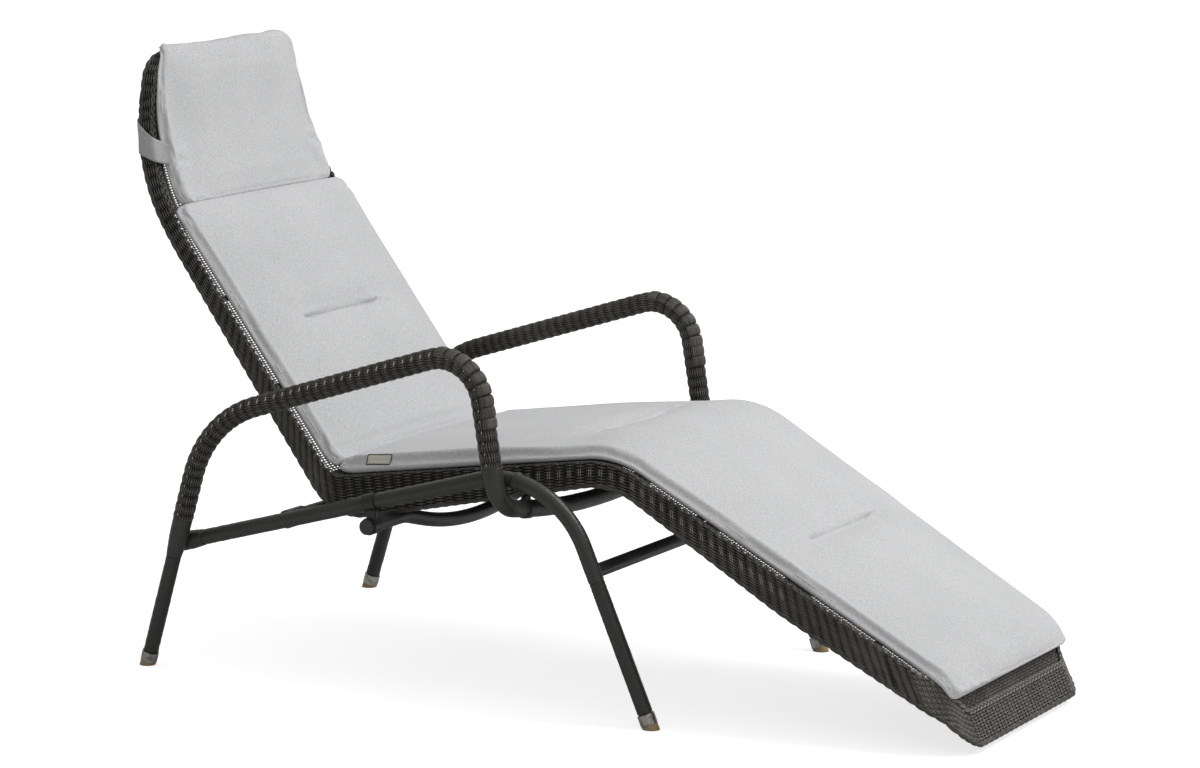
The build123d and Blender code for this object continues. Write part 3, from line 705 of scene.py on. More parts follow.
class Finishes:
    """Every finish of the chair, built once."""

    def __init__(self) -> None:
        """Builds the materials."""
        self.strand = ExtrudedResin("woven_resin_strand", "#080807", "#86837b", 0.34).build()
        self.cane = ExtrudedResin("wound_resin_cane", "#232322", "#43423f", 0.32, line_spacing=1.2).build()
        self.tube = PowderCoatedAluminium("powder_coated_aluminium", "#2a2b2b", "#3d3e3e", 0.36).build()
        self.steel = TurnedStainlessSteel("turned_stainless_steel", "#8f8b84", "#c9c6bf", 0.34).build()
        self.glide = MouldedPlastic("moulded_tan_nylon", "#6f5f45", "#a8936c", 0.5, darker_bottom_height=3.0).build()
        self.cap = MouldedPlastic("moulded_charcoal_plastic", "#222324", "#3a3b3c", 0.4).build()
        self.cloth = SpunAcrylicCloth("spun_acrylic_cloth", "#bdbebf", "#e6e6e7").build()
        self.strap = SpunAcrylicCloth("spun_acrylic_strap", "#9fa0a1", "#cbcbcb").build()
        thread, tape = ({"yarn_spacing": spacing, "yarn_length": length}
                        for spacing, length in ((0.5, 2.0), (0.8, 3.0)))
        self.thread = SpunAcrylicCloth("sewing_thread", "#cfcfcf", "#efefef", **thread).build()
        # Dark thread for the ring round the tag; its darkness is a painted shadow along the tag's edge.
        self.hem_and_shadow_line = SpunAcrylicCloth("overlocked_thread", "#3a3934", "#5b5952", **thread).build()
        self.tape = SpunAcrylicCloth("woven_tape", "#cdcbb6", "#f2f0e0", **tape).build()


# The shell's shape

@dataclass
class ShellShape:
    """Side-view lines, widths and wall of the shell."""

    deck_corners: tuple = ((-58.0, 1000.0), (-58.0, 825.0), (312.2, 333.0), (837.4, 409.2), (1385.0, 106.0),
                           (1419.0, 58.0))
    deck_radii: tuple = (310.0, 45.0, 150.0, 60.0)
    lower_corners: tuple = ((-84.0, 1000.0), (-84.0, 818.8), (320.6, 259.6), (835.3, 370.3), (1128.0, 192.0),
                            (1396.0, 54.0), (FOOT_END_X, 12.0))
    lower_radii: tuple = (330.0, 100.0, 120.0, 600.0, 60.0)
    half_width: float = 262.0
    head_half_width: float = 202.0
    foot_half_width: float = 235.0
    head_taper_z: float = 700.0
    head_corner_radius: float = 55.0
    foot_corner_radius: float = 65.0
    taper_blend_radius: float = 300.0
    corner_run_out: float = 12.0
    rim_width: float = 12.0
    match_window: int = 41
    step: float = 2.0

    def __post_init__(self) -> None:
        """Works out the lines, the outline and the wall of the left half."""
        self.deck, self.lower = (rounded_path([(x, 0.0, z) for x, z in corners], radii, 1.0)
                                 for corners, radii in ((self.deck_corners, self.deck_radii),
                                                        (self.lower_corners, self.lower_radii)))
        self.deck_lengths = lengths_of(self.deck)
        top = self.deck_corners[0][1]
        foot, toe, knee = self.lower_corners[-1], self.deck_corners[-1], self.lower_corners[3]
        self.foot_slant = (foot[0] - toe[0]) / (toe[1] - foot[1])
        self.end_place = foot[0] + self.foot_slant * foot[1]
        self.foot_start = self.end_place - self.foot_corner_radius - self.corner_run_out
        self.head_start = top - self.head_corner_radius - self.corner_run_out
        self.front = rounded_path(
            [(0, 0, top), (0, self.head_half_width, top), (0, self.half_width, self.head_taper_z),
             (0, self.half_width, self.head_taper_z / 2)],
            [self.head_corner_radius, self.taper_blend_radius], self.step)
        self.plan = rounded_path(
            [(0, self.half_width, 0), (knee[0] + self.foot_slant * knee[1], self.half_width, 0),
             (self.end_place, self.foot_half_width, 0), (self.end_place, 0, 0)],
            [self.taper_blend_radius, self.foot_corner_radius], self.step)
        self.build_half()

    def slanted(self, line: Array) -> Array:
        """Place of side-view points along the chair, seen along the slanted foot end."""
        return line[:, 0] + self.foot_slant * line[:, 2]

    def side_half_width(self, line: Array) -> Array:
        """Half width of the shell at side-view points, without the rounded corners.

        Args:
            line: side-view points.

        Returns:
            One half width for each point.
        """
        front = self.front[self.front[:, 2] < self.deck_corners[0][1] - self.head_corner_radius - 1]
        plan = self.plan[self.plan[:, 0] < self.end_place - self.foot_corner_radius - 1]
        return np.minimum(np.interp(-line[:, 2], -front[:, 2], front[:, 1]),
                          np.interp(self.slanted(line), plan[:, 0], plan[:, 1]))

    def build_half(self) -> None:
        """Lines up the rim and the lower edge of the left half, from head middle to foot middle."""
        on_side = (self.deck[:, 2] < self.head_start) & (self.slanted(self.deck) < self.foot_start)
        opposite = at_lengths(self.lower, self.matched(self.deck_lengths[on_side][::2]))
        foot = self.plan[(self.plan[:, 0] > self.foot_start) | (self.plan[:, 1] < self.foot_half_width / 2)]
        halves = []
        for line, side in ((self.deck, self.deck[on_side][::2].copy()), (self.lower, opposite)):
            head = self.front[self.front[:, 2] > self.head_start]
            head[:, 0] = np.interp(-head[:, 2], -line[:, 2], line[:, 0])
            side[:, 1] = self.side_half_width(side)
            last = line[len(line) // 2:]
            end = read_at(foot[:, 0], self.slanted(last), last)
            end[:, 1] = foot[:, 1]
            halves.append(np.vstack([head, side, end]))
        self.half_rim, self.half_low = halves

    def matched(self, lengths: Array) -> Array:
        """Lengths along the lower edge that lie opposite lengths along the deck line.

        Args:
            lengths: lengths along the deck line.

        Returns:
            As many lengths along the lower edge.
        """
        knots = []
        for line, corners in ((self.deck, self.deck_corners), (self.lower, self.lower_corners)):
            known = lengths_of(line)
            half = len(line) // 2
            start = known[half + np.argmin(np.abs(self.slanted(line[half:]) - self.foot_start))]
            knots.append([0.0, *(known[nearest(line, x, z)] for x, z in corners[1:4]), start, known[-1]])
        return smoothed(np.interp(lengths, *knots), self.match_window)

    def ring(self, count: int) -> dict[str, Array]:
        """The wall all round, at evenly spaced stations.

        Args:
            count: number of stations, from the head's middle down the left side and back up the right.

        Returns:
            Rows of rim and low points, unit vectors out of and down the wall, up from and inward over the
            deck, and the wall's height.
        """
        rim, low = (np.vstack([half, (half * (1, -1, 1))[::-1]]) for half in (self.half_rim, self.half_low))
        known = lengths_of(rim)
        keep = np.concatenate([[True], np.diff(known) > 1e-6])
        lengths = np.linspace(0.0, known[-1], count, endpoint=False)
        rim, low = (read_at(lengths, known[keep], line[keep]) for line in (rim, low))
        down = unit(low - rim)
        along = directions_of(rim, closed=True)
        out = unit(np.cross(along, down))
        for _ in range(3):
            out = unit(np.roll(out, 1, axis=0) + 2 * out + np.roll(out, -1, axis=0))
        up = self.deck_normals(self.deck_lengths[self.nearest_deck(rim)])
        return {"rim": rim, "low": low, "down": down, "out": out, "up": up,
                "inward": -unit(np.cross(up, along)), "height": np.linalg.norm(low - rim, axis=1),
                "lengths": lengths}

    def nearest_deck(self, rim: Array) -> list[int]:
        """Numbers of the deck line's points that are nearest to points of the rim."""
        return [nearest(self.deck, x, z) for x, _, z in rim]

    def deck_points(self, lengths: Array, across: Array, height: float | Array = 0.0) -> Array:
        """Points on or over the deck.

        Args:
            lengths: how far along the deck line each point lies.
            across: each point's Y.
            height: how far towards the sitter.

        Returns:
            Points in chair millimetres.
        """
        raised = self.deck_normals(lengths) * np.broadcast_to(height, len(lengths))[:, None]
        points = at_lengths(self.deck, lengths) + raised
        points[:, 1] = across
        return points

    def deck_normals(self, lengths: Array) -> Array:
        """Directions towards the sitter, square to the deck line."""
        along = directions_of(self.deck)
        return unit(read_at(lengths, self.deck_lengths, along[:, ::-1] * (-1, 0, 1)))

    def deck_half_width(self, lengths: Array) -> Array:
        """Half width of the deck inside its rim, rounded corners included.

        Args:
            lengths: lengths along the deck line.

        Returns:
            One half width for each length, nought past either end.
        """
        rim, close = self.half_rim, self.nearest_deck(self.half_rim)
        normals = self.deck_normals(self.deck_lengths[close])
        inner = rim + unit(np.cross(normals, directions_of(rim))) * -self.rim_width
        steps = np.sum((inner - self.deck[close]) * directions_of(self.deck)[close], axis=1)
        places = self.deck_lengths[close] + steps
        used = (rim[:, 1] > self.head_half_width - self.head_corner_radius - self.rim_width)
        order = np.argsort(places[used])
        known = places[used][order]
        lengths = lengths - np.clip(lengths - known[-1], 0.0, self.rim_width / 2)
        return np.interp(lengths, known, inner[used][order][:, 1], left=0.0, right=0.0)


# The woven shell

@dataclass
class WovenShell:
    """Borders, deck and rim, woven of round resin strand over stakes."""

    shape: ShellShape
    finishes: Finishes
    # The rows are a little coarser than the real 2.1 mm, so that single strands show.
    row_pitch: float = 2.3
    stake_pitch: float = 19.0
    strand_radius: float = 1.0
    strand_half_depth: float = 1.15
    wave: float = 1.8
    bulge_highlight_and_shade: float = 0.7
    # Dark tapes inside the wall and under the deck's edge near the head are painted shade.
    shade_backing_depth: float = 6.4
    shade_backing_half_thickness: float = 0.4
    shade_backing_tone: float = -1.0
    shade_tape_pitch: float = 3.6
    shade_tape_half_width: float = 2.1
    rim_shade_tape_half_width: float = 9.0
    rim_shade_tape_end: float = 262.0
    rim_shade_tape_overlap: float = 2.0
    rim_shade_tape_gap: float = 1.0
    wall_middle: float = 3.6
    samples: int = 4
    first_row: float = 0.7
    stake_radius: float = 0.9
    stake_tone: float = 0.35
    stitch_limits: tuple[float, float] = (640.0, 1130.0)
    stitch_spread: float = 1.9
    stitch_shares: tuple[float, float] = (0.26, 0.5)
    stitch_radius: float = 0.45
    stitch_glint_tone: float = 1.9
    foot_pitch: float = 11.0
    foot_row_pitch: float = 4.6
    foot_pair_shift: float = 1.45
    foot_wave: float = 1.0
    foot_middle: float = 2.6
    foot_strand_radius: float = 0.92
    foot_strand_half_depth: float = 0.85
    foot_row_tones: tuple[float, float] = (0.5, 0.8)
    foot_stake_tone: float = 0.65
    foot_bulge_highlight_and_shade: float = 0.2
    foot_mesh_reach: float = 44.0
    footing_radius: float = 3.6
    footing_bulge: float = 1.5
    footing_sharpness: float = 0.8
    footing_level: float = 0.6
    footing_samples: int = 6
    footing_tone: float = 0.1
    plait_pitch: float = 37.0
    plait_samples: int = 14
    plait_width: float = 3.4
    plait_height: float = 1.5
    plait_strand: float = 1.65
    plait_gap: float = 0.3
    plait_sink: float = 1.2
    plait_rise_highlight_and_shade: float = 0.2
    foot_plait_level_and_rise_shading: tuple[float, float] = (0.45, 0.8)
    mesh_pitch: float = 4.4
    mesh_row_pitch: float = 9.4
    mesh_pair_shift: float = 1.35
    mesh_row_half_width: float = 1.15
    mesh_row_half_height: float = 0.7
    mesh_row_tones: tuple[float, float] = (0.2, 0.5)
    mesh_stake_radius: float = 1.0
    mesh_stake_tone: float = 0.3
    mesh_wave: float = 0.8
    mesh_bulge_highlight_and_shade: float = 0.4
    deck_thickness: float = 4.0
    seed: int = 5

    def build(self) -> None:
        """Builds every woven piece of the shell."""
        self.random = np.random.default_rng(self.seed)
        self.girth = 2 * lengths_of(self.shape.half_rim)[-1]
        self.stakes = 2 * round(self.girth / self.stake_pitch / 2)
        self.wall = self.shape.ring(self.stakes * self.samples)
        self.zones = np.array([self.zone_of(rim) for rim in self.wall["rim"]])
        self.borders = {name: Stock() for name in ("left", "right", "head", "foot")}
        self.add_rows()
        self.add_stakes_and_footing()
        self.add_stitches()
        self.add_foot_mesh()
        for zone, stock in self.borders.items():
            self.make(stock, f"woven_border_strands_{zone}", f"woven_border_{zone}")
        self.build_rim()
        self.build_deck()

    def make(self, stock: Stock, name: str, *nodes: str) -> None:
        """Makes a woven piece of a stock of strands."""
        stock.make(name, self.finishes.strand, Body.FRAME, "woven_fibre", nodes)

    def zone_of(self, rim: Array) -> str:
        """Which border a point of the rim belongs to.

        Args:
            rim: the point.

        Returns:
            The border's name.
        """
        if rim[2] > self.shape.head_start:
            return "head"
        if rim[0] + self.shape.foot_slant * rim[2] > self.shape.foot_start:
            return "foot"
        return "left" if rim[1] > 0 else "right"

    def in_foot_mesh(self, rim: Array) -> Array:
        """Whether rim points lie where the finer weave of the foot end covers the wall."""
        return self.shape.slanted(rim) > self.shape.end_place - self.foot_mesh_reach

    def lay(self, depth: float, out: float | Array, floor: float, size: float, sides: int, width: float,
            tone: float | Array, kept: bool | Array = True) -> None:
        """Adds a row round the wall to the border of each zone.

        Args:
            depth: how far below the rim it lies.
            out: how far out of the wall it lies.
            floor: how far from the lower edge it stops.
            size, sides, width, tone: as for Stock.tube.
            kept: stations where the row may lie.
        """
        wall = self.wall
        path = wall["rim"] + wall["down"] * depth + wall["out"] * np.reshape(out, (-1, 1))
        inside = (depth < wall["height"] - floor) & kept
        for zone, stock in self.borders.items():
            runs = ring_stretches(inside & (self.zones == zone))
            stock.tubes(runs, path, wall["out"], size, sides, width, tone)

    def add_rows(self) -> None:
        """Rows of strand along the wall, in front of one stake and behind the next, toned as painted
        highlight and shade, over dark inner tapes of painted shade.
        """
        height = self.wall["height"].max()
        passed = np.arange(len(self.zones)) / self.samples
        plain = ~self.in_foot_mesh(self.wall["rim"])
        for row in range(int(height / self.row_pitch)):
            wave = self.wave * np.cos(math.pi * (passed + row))
            # Painted highlight and shade: lighter where the row passes in front of a stake, darker where it
            # lies behind.
            tone = self.random.uniform(*STRAND_TONES) + self.bulge_highlight_and_shade * np.clip(2 * wave / self.wave, -1, 1)
            self.lay((row + self.first_row) * self.row_pitch, wave - self.wall_middle,
                     self.footing_radius / 2, self.strand_half_depth, 5, self.strand_radius, tone, plain)
        # Dark tapes inside the wall are painted shade, standing in for the shade seen through the gaps
        # between the rows.
        for row in range(int(height / self.shade_tape_pitch)):
            self.lay((row + 1) * self.shade_tape_pitch, -self.shade_backing_depth, self.footing_radius,
                     self.shade_backing_half_thickness, 4, self.shade_tape_half_width, self.shade_backing_tone)

    def add_stakes_and_footing(self) -> None:
        """Stakes down the wall, and the roll that they are folded into at its lower edge."""
        wall = self.wall
        for station in range(0, len(self.zones), self.samples):
            out = wall["out"][station]
            path = np.stack([wall["rim"][station], wall["low"][station]]) + out * -self.wall_middle
            path = evenly(path, wall["height"][station] / 3)
            self.borders[self.zones[station]].tube(path, out, self.stake_radius, 6, tone=self.stake_tone)
        fine = self.shape.ring(self.stakes * self.footing_samples)
        station = np.arange(len(fine["rim"]))
        ridges = np.abs(np.sin(math.pi * station / self.footing_samples)) ** self.footing_sharpness
        size = self.footing_radius + self.footing_bulge * (ridges - self.footing_level)
        centre = fine["low"] - fine["down"] * self.footing_radius - fine["out"] * self.wall_middle
        zones = self.zones[(station * self.samples // self.footing_samples) % len(self.zones)]
        for zone, stock in self.borders.items():
            stock.tubes(ring_stretches(zones == zone), centre, fine["out"], size, 8, tone=self.footing_tone)

    def add_stitches(self) -> None:
        """Pairs of short stitches over the stakes, half way down the wall round the knee, toned as a painted
        pale glint.
        """
        wall = self.wall
        first, last = self.stitch_limits
        for station in range(0, len(self.zones), self.samples):
            rim, out = wall["rim"][station], wall["out"][station]
            if not first < rim[0] < last:
                continue
            along = unit(wall["rim"][(station + 1) % len(self.zones)] - rim)
            for shift in (-self.stitch_spread, self.stitch_spread):
                depth = np.linspace(*self.stitch_shares, 6)[:, None] * wall["height"][station]
                path = (rim + wall["down"][station] * depth + along * shift
                        + out * (self.wave - self.wall_middle + self.strand_half_depth))
                self.borders["left" if rim[1] > 0 else "right"].tube(
                    path, out, self.stitch_radius, 5, tone=self.stitch_glint_tone)

    def add_foot_mesh(self) -> None:
        """Finer weave of the foot end: the deck's rows run on over its edge, through rows round it."""
        stock, half_depth, radius = self.borders["foot"], self.foot_strand_half_depth, self.foot_strand_radius
        stakes = 2 * round(self.wall["lengths"][-1] / self.foot_pitch / 2)
        ring = self.shape.ring(self.samples * stakes)
        meshed = self.in_foot_mesh(ring["rim"])
        stations = np.arange(len(meshed))
        for row in range(int(ring["height"][meshed].max() / self.foot_row_pitch)):
            depth = (row + 0.5) * self.foot_row_pitch
            wave = self.foot_wave * np.cos(math.pi * (stations / self.samples + row))
            path = ring["rim"] + ring["down"] * depth + ring["out"] * (wave - self.foot_middle)[:, None]
            # Painted highlight and shade: lighter where a row bulges out, darker where it lies behind.
            tone = self.random.uniform(*self.foot_row_tones) + self.foot_bulge_highlight_and_shade * wave / self.foot_wave
            runs = ring_stretches(meshed & (depth < ring["height"] - self.footing_radius))
            stock.tubes(runs, path, ring["out"], half_depth, 5, radius, tone)
        for number, station in enumerate(stations[meshed & (stations % self.samples == 0)]):
            rim, down, out = (ring[key][station] for key in ("rim", "down", "out"))
            along = unit(np.cross(out, down))
            depth = np.arange(0.0, ring["height"][station] - self.footing_radius, self.foot_row_pitch / 2)
            wave = -self.foot_wave * np.sin(math.pi * (depth / self.foot_row_pitch + number))
            path = rim + down * depth[:, None] + out * (wave - self.foot_middle)[:, None]
            # Painted highlight and shade on the stakes in the same way.
            tone = self.foot_stake_tone + self.foot_bulge_highlight_and_shade * wave / self.foot_wave
            for shift in (-self.foot_pair_shift, self.foot_pair_shift):
                stock.tube(path + along * shift, out, half_depth, 5, radius, tone=tone)

    def build_rim(self) -> None:
        """Three-strand plait that covers the rim, each strand toned lighter where it rises and darker where
        it dips, as painted highlight and shade.
        """
        count = round(self.girth / self.plait_pitch) * self.plait_samples
        ring = self.shape.ring(count)
        turn = 2 * math.pi * np.arange(count) / self.plait_samples
        reach = self.plait_width + self.plait_strand + self.plait_gap
        base = ring["rim"] + ring["inward"] * reach - ring["up"] * self.plait_sink
        level, rise_shading = self.foot_plait_level_and_rise_shading
        stock = Stock()
        meshed = self.in_foot_mesh(ring["rim"])
        for strand in range(3):
            phase = turn + 2 * math.pi * strand / 3
            rise = np.sin(2 * phase)
            path = (base + ring["inward"] * (self.plait_width * np.sin(phase))[:, None]
                    + ring["up"] * (self.plait_height * rise)[:, None])
            # Painted highlight and shade: a strand is lighter where it rises and darker where it dips.
            stock.tube(path, ring["up"], self.plait_strand, 6, closed=True,
                       tone=np.where(meshed, level + rise_shading * rise, self.plait_rise_highlight_and_shade * rise))
        self.make(stock, "rim_plait", "rim_braid")

    def build_deck(self) -> None:
        """Open mesh of the deck: straight stakes across, and rows along it that wave over and under them."""
        shape = self.shape
        total = shape.deck_lengths[-1]
        count = int(total / self.mesh_pitch)
        lengths = (np.arange(count) + 0.5) * total / count
        half = shape.deck_half_width(lengths)
        side = shape.side_half_width(at_lengths(shape.deck, lengths)) - shape.rim_width
        normals = shape.deck_normals(lengths)
        middle = -self.deck_thickness / 2
        rows = round(2 * side.max() / self.mesh_row_pitch)
        for part, numbers in zip(("left", "middle", "right"), np.array_split(np.arange(rows), 3)):
            stock = Stock()
            for row in numbers:
                wave = self.mesh_wave * np.cos(math.pi * (np.arange(count) + row))
                # Painted highlight and shade: lighter where a row rises over a stake, darker where it dips
                # under.
                tone = self.random.uniform(*self.mesh_row_tones) + self.mesh_bulge_highlight_and_shade * wave / self.mesh_wave
                for shift in (-self.mesh_pair_shift, self.mesh_pair_shift):
                    across = (1 - (2 * row + 1) / rows) * side + shift
                    path = shape.deck_points(lengths, across, wave + middle)
                    stock.tubes(stretches(np.abs(across) < half), path, normals, self.mesh_row_half_height, 4,
                                self.mesh_row_half_width, tone)
            self.make(stock, f"woven_deck_rows_{part}", *(["woven_deck"] if part == "middle" else []))
        stock = Stock()
        for length, reach, normal in zip(lengths, half, normals):
            if reach > self.mesh_row_pitch:
                ends = shape.deck_points(np.array([length, length]), np.array([-reach, reach]), middle)
                stock.tube(ends, normal, self.mesh_stake_radius, 6, tone=self.mesh_stake_tone)
        # Dark tapes under the deck's edges towards the head are painted shade seen through the open mesh.
        places = np.arange(shape.head_corner_radius / 2, self.rim_shade_tape_end, self.mesh_pitch)
        edge = shape.deck_half_width(places) - self.rim_shade_tape_half_width + self.rim_shade_tape_overlap
        for sign in (1, -1):
            path = shape.deck_points(places, sign * edge, -self.deck_thickness - self.rim_shade_tape_gap)
            stock.tube(path, shape.deck_normals(places), self.shade_backing_half_thickness, 4,
                       self.rim_shade_tape_half_width, tone=self.shade_backing_tone)
        self.make(stock, "woven_deck_stakes")


# The wound frame

@dataclass
class WoundFrame:
    """Windings of cane and woven strand on the tubes, built over the CAD tubes."""

    finishes: Finishes
    stance: Stance = Stance()
    cane_width: float = 3.4
    cane_step: float = 0.85
    cane_unevenness: float = 0.12
    cane_sides: int = 18
    ridge_sharpness: float = 0.6
    leg_rise: float = 0.15
    leg_tone: float = 0.3
    post_rise: float = 0.25
    lashing_rise: float = 0.5
    rail_radius: float = 12.9
    leg_radius: float = 12.4
    post_radius: float = 14.1
    collar_radius: float = 17.6
    collar_length: float = 62.0
    collar_overlap: float = 1.5
    collar_top_z: float = 396.0
    binding_radius: float = 15.7
    binding_bottom_z: float = 190.0
    binding_top_z: float = 258.0
    binding_length: float = 40.0
    binding_lip: float = 0.6
    binding_end_lip: float = 0.5
    binding_overlap: float = 3.0
    binding_rises: tuple[float, float] = (0.3, 0.4)
    leg_cane_top_z: float = 226.0
    ferrule_top: float = 25.0
    weave_radius: float = 17.3
    weave_pitch: float = 17.0
    weave_strands: int = 50
    weave_strand_radius: float = 1.08
    weave_strand_half_depth: float = 1.15
    weave_wave: float = 1.5
    weave_bulge_highlight_and_shade: float = 0.6
    weave_samples: int = 4
    hoop_radius: float = 1.3
    hoop_tone: float = 0.3
    tick_radius: float = 0.8
    tick_sink: float = 0.3
    tick_angles: tuple[float, float] = (17.0, 39.0)
    tick_glint_tone: float = 2.2
    pad_count: int = 9
    pad_pitch: float = 17.0
    pad_length: float = 17.4
    pad_half_angle: float = 66.0
    pad_height: float = 1.5
    pad_rise: float = 2.5
    pad_strands: int = 17
    pad_strand_radius: float = 1.35
    pad_start: float = -38.0
    pad_sink: float = 0.4
    pad_samples: int = 13
    pad_edge_shares: tuple[float, float] = (0.3, 0.75)
    pad_edge_power: int = 6
    pad_strand_samples: int = 9
    pad_strand_flatness: float = 0.8
    pad_arch_margin: float = 8.0
    pad_arch_power: int = 8
    pad_arch_end: float = 0.02
    pad_tone: float = 0.2
    pad_strand_tones: tuple[float, float] = (0.0, 0.35)
    pad_crest_highlight: float = 0.25
    ring_radius: float = 15.3
    ring_length: float = 48.0
    ring_sink: float = 1.0
    lashing_radius: float = 15.1
    lashing_length: float = 10.0
    lashing_gap: float = 0.6
    seed: int = 11

    def build(self) -> None:
        """Builds every winding: first the woven arms and their pads, then what is of cane."""
        self.random = np.random.default_rng(self.seed)
        for side in Side:
            self.build_arm(side)
        self.build_pads()
        self.windings: dict[tuple[str, str], Stock] = {}
        self.wind_rails()
        self.wind_legs()
        self.wind_posts()
        self.wind_cross_tubes()
        self.wind_joints()
        self.wind_lashings()
        for (name, node), stock in self.windings.items():
            stock.make(name, self.finishes.cane, Body.FRAME, "cane_winding", [node])

    def wind(self, name: str, node: str, path: Array, radius: float | Sequence[float], rise: float = 0.35,
             tone: float = 0.5) -> None:
        """Adds close turns of cane round a path: each turn is a low rounded ridge.

        Args:
            name: the piece that it is added to.
            node: the CAD node that the piece stands for.
            path: centre line.
            radius: outer radius, one value or several spread along the path.
            rise: height of a turn over the groove beside it.
            tone: share between the darkest and lightest colour.
        """
        path = evenly(path, self.cane_step)
        turns = lengths_of(path) / self.cane_width
        ridge = np.abs(np.sin(math.pi * turns)) ** self.ridge_sharpness
        knots = np.arange(math.ceil(turns[-1]) + 2)
        uneven = np.interp(turns, knots, self.random.normal(0.0, self.cane_unevenness, len(knots)))
        outer = np.interp(turns, np.linspace(0.0, turns[-1], np.size(radius)), np.atleast_1d(radius))
        self.windings.setdefault((name, node), Stock()).tube(
            path, carried_normals(path, (0.1, 0.2, 1.0)), outer - rise * (1 - ridge) + uneven,
            self.cane_sides, tone=tone)

    def between(self, path: Array, low: tuple[float, float], high: tuple[float, float]) -> Array:
        """Points of a path between two pairs of X and Z."""
        place = path[:, ::2]
        return path[np.all((place > low) & (place < high), axis=1)]

    def build_arm(self, side: Side) -> None:
        """Woven cover of an arm: strands along it, in front of one hoop and behind the next, lighter in front
        and darker behind as painted highlight and shade.

        Args:
            side: which arm.
        """
        path = self.stance.arm_path(side)
        behind = path[:, 0] < self.stance.arm_bend[0] - self.stance.bend_radii[1]
        woven = path[:, 2] > np.where(behind, self.binding_top_z, self.collar_top_z)
        path = path[max(stretches(woven), key=len)]
        total = lengths_of(path)[-1]
        hoops = round(total / self.weave_pitch)
        path = at_lengths(path, np.linspace(0.0, total, hoops * self.weave_samples + 1))
        normals = carried_normals(path, (0.0, side.value, 0.0))
        across = np.cross(directions_of(path), normals)
        passed = np.arange(len(path)) / self.weave_samples
        middle = self.weave_radius - self.weave_strand_half_depth - self.weave_wave
        stock = Stock()
        for strand in range(self.weave_strands):
            angle = 2 * math.pi * strand / self.weave_strands
            out = math.cos(angle) * normals + math.sin(angle) * across
            wave = self.weave_wave * np.cos(math.pi * (passed + strand))
            front = np.clip(2 * wave / self.weave_wave, -1, 1)
            # Painted highlight and shade: lighter where a strand passes in front of a hoop, darker behind it.
            tone = self.random.uniform(*STRAND_TONES) + self.weave_bulge_highlight_and_shade * front
            stock.tube(path + out * (middle + wave)[:, None], out, self.weave_strand_half_depth, 5,
                       self.weave_strand_radius, tone=tone)
        round_hoop = math.pi * np.arange(2 * self.weave_strands)[:, None] / self.weave_strands
        # On an arm's outer face a short part of each hoop shows between the strands, toned as a painted pale
        # glint.
        tick = np.radians(np.linspace(*self.tick_angles, 6))
        tick_out = np.stack([0 * tick, side.value * np.cos(tick), np.sin(tick)], axis=1)
        for station in range(0, len(path), self.weave_samples):
            out = np.cos(round_hoop) * normals[station] + np.sin(round_hoop) * across[station]
            stock.tube(path[station] + out * middle, out, self.hoop_radius, 5, closed=True,
                       tone=self.hoop_tone)
            stock.tube(path[station] + tick_out * (self.weave_radius - self.tick_sink), tick_out,
                       self.tick_radius, 6, tone=self.tick_glint_tone)
        name = side.name.lower()
        stock.make(f"arm_weave_strands_{name}", self.finishes.strand, Body.FRAME, "woven_fibre",
                   [f"arm_weave_{name}"])

    def build_pads(self) -> None:
        """Row of flat cane pads down the front of each post, each a low cushion shape."""
        stock = Stock()
        for side in Side:
            path = self.stance.arm_path(side)
            known = lengths_of(path)
            first = known[nearest(path, *self.stance.arm_bend)] + self.pad_start
            for place in first + np.arange(self.pad_count) * self.pad_pitch:
                self.add_pad(stock, at_lengths(path, [place])[0],
                             unit(read_at([place], known, directions_of(path))[0]))
        stock.make("arm_post_pad_wraps", self.finishes.strand, Body.FRAME, "cane_winding", ["arm_post_pads"])

    def add_pad(self, stock: Stock, centre: Array, along: Array) -> None:
        """Adds one pad: a flat bar bent round the front of the post, with short strands that arch over it.

        Args:
            stock: what it is added to.
            centre: point on the post's centre line.
            along: direction of the post.
        """
        front, left = unit(np.cross((0.0, 1.0, 0.0), -along)), np.array([0.0, 1.0, 0.0])
        half = math.radians(self.pad_half_angle)
        angles = np.linspace(-half, half, self.pad_samples)
        out = np.cos(angles)[:, None] * front + np.sin(angles)[:, None] * left
        fade = np.sqrt(np.clip(1 - (angles / half) ** self.pad_edge_power, 0.02, 1.0))
        height, length = (share + (1 - share) * fade for share in self.pad_edge_shares)
        stock.tube(centre + out * (self.weave_radius - self.pad_sink), out, self.pad_height * height, 12,
                   self.pad_length / 2 * length, tone=self.pad_tone)
        places = np.linspace(-1.0, 1.0, self.pad_strand_samples)
        reach = math.radians(self.pad_half_angle + self.pad_arch_margin)
        for angle in np.linspace(-half, half, self.pad_strands):
            out = math.cos(angle) * front + math.sin(angle) * left
            arch = np.sqrt(1 + self.pad_arch_end - places**2)
            full = (1 - (angle / reach) ** self.pad_arch_power) * arch
            height = self.weave_radius - self.pad_strand_radius + self.pad_rise * full
            path = centre + along * (places * self.pad_length / 2)[:, None] + out * height[:, None]
            # Painted highlight: a strand is lighter towards the crest of its arch.
            tone = self.random.uniform(*self.pad_strand_tones) + self.pad_crest_highlight * full
            stock.tube(path, out, self.pad_strand_radius * self.pad_strand_flatness, 5,
                       self.pad_strand_radius, tone=tone)

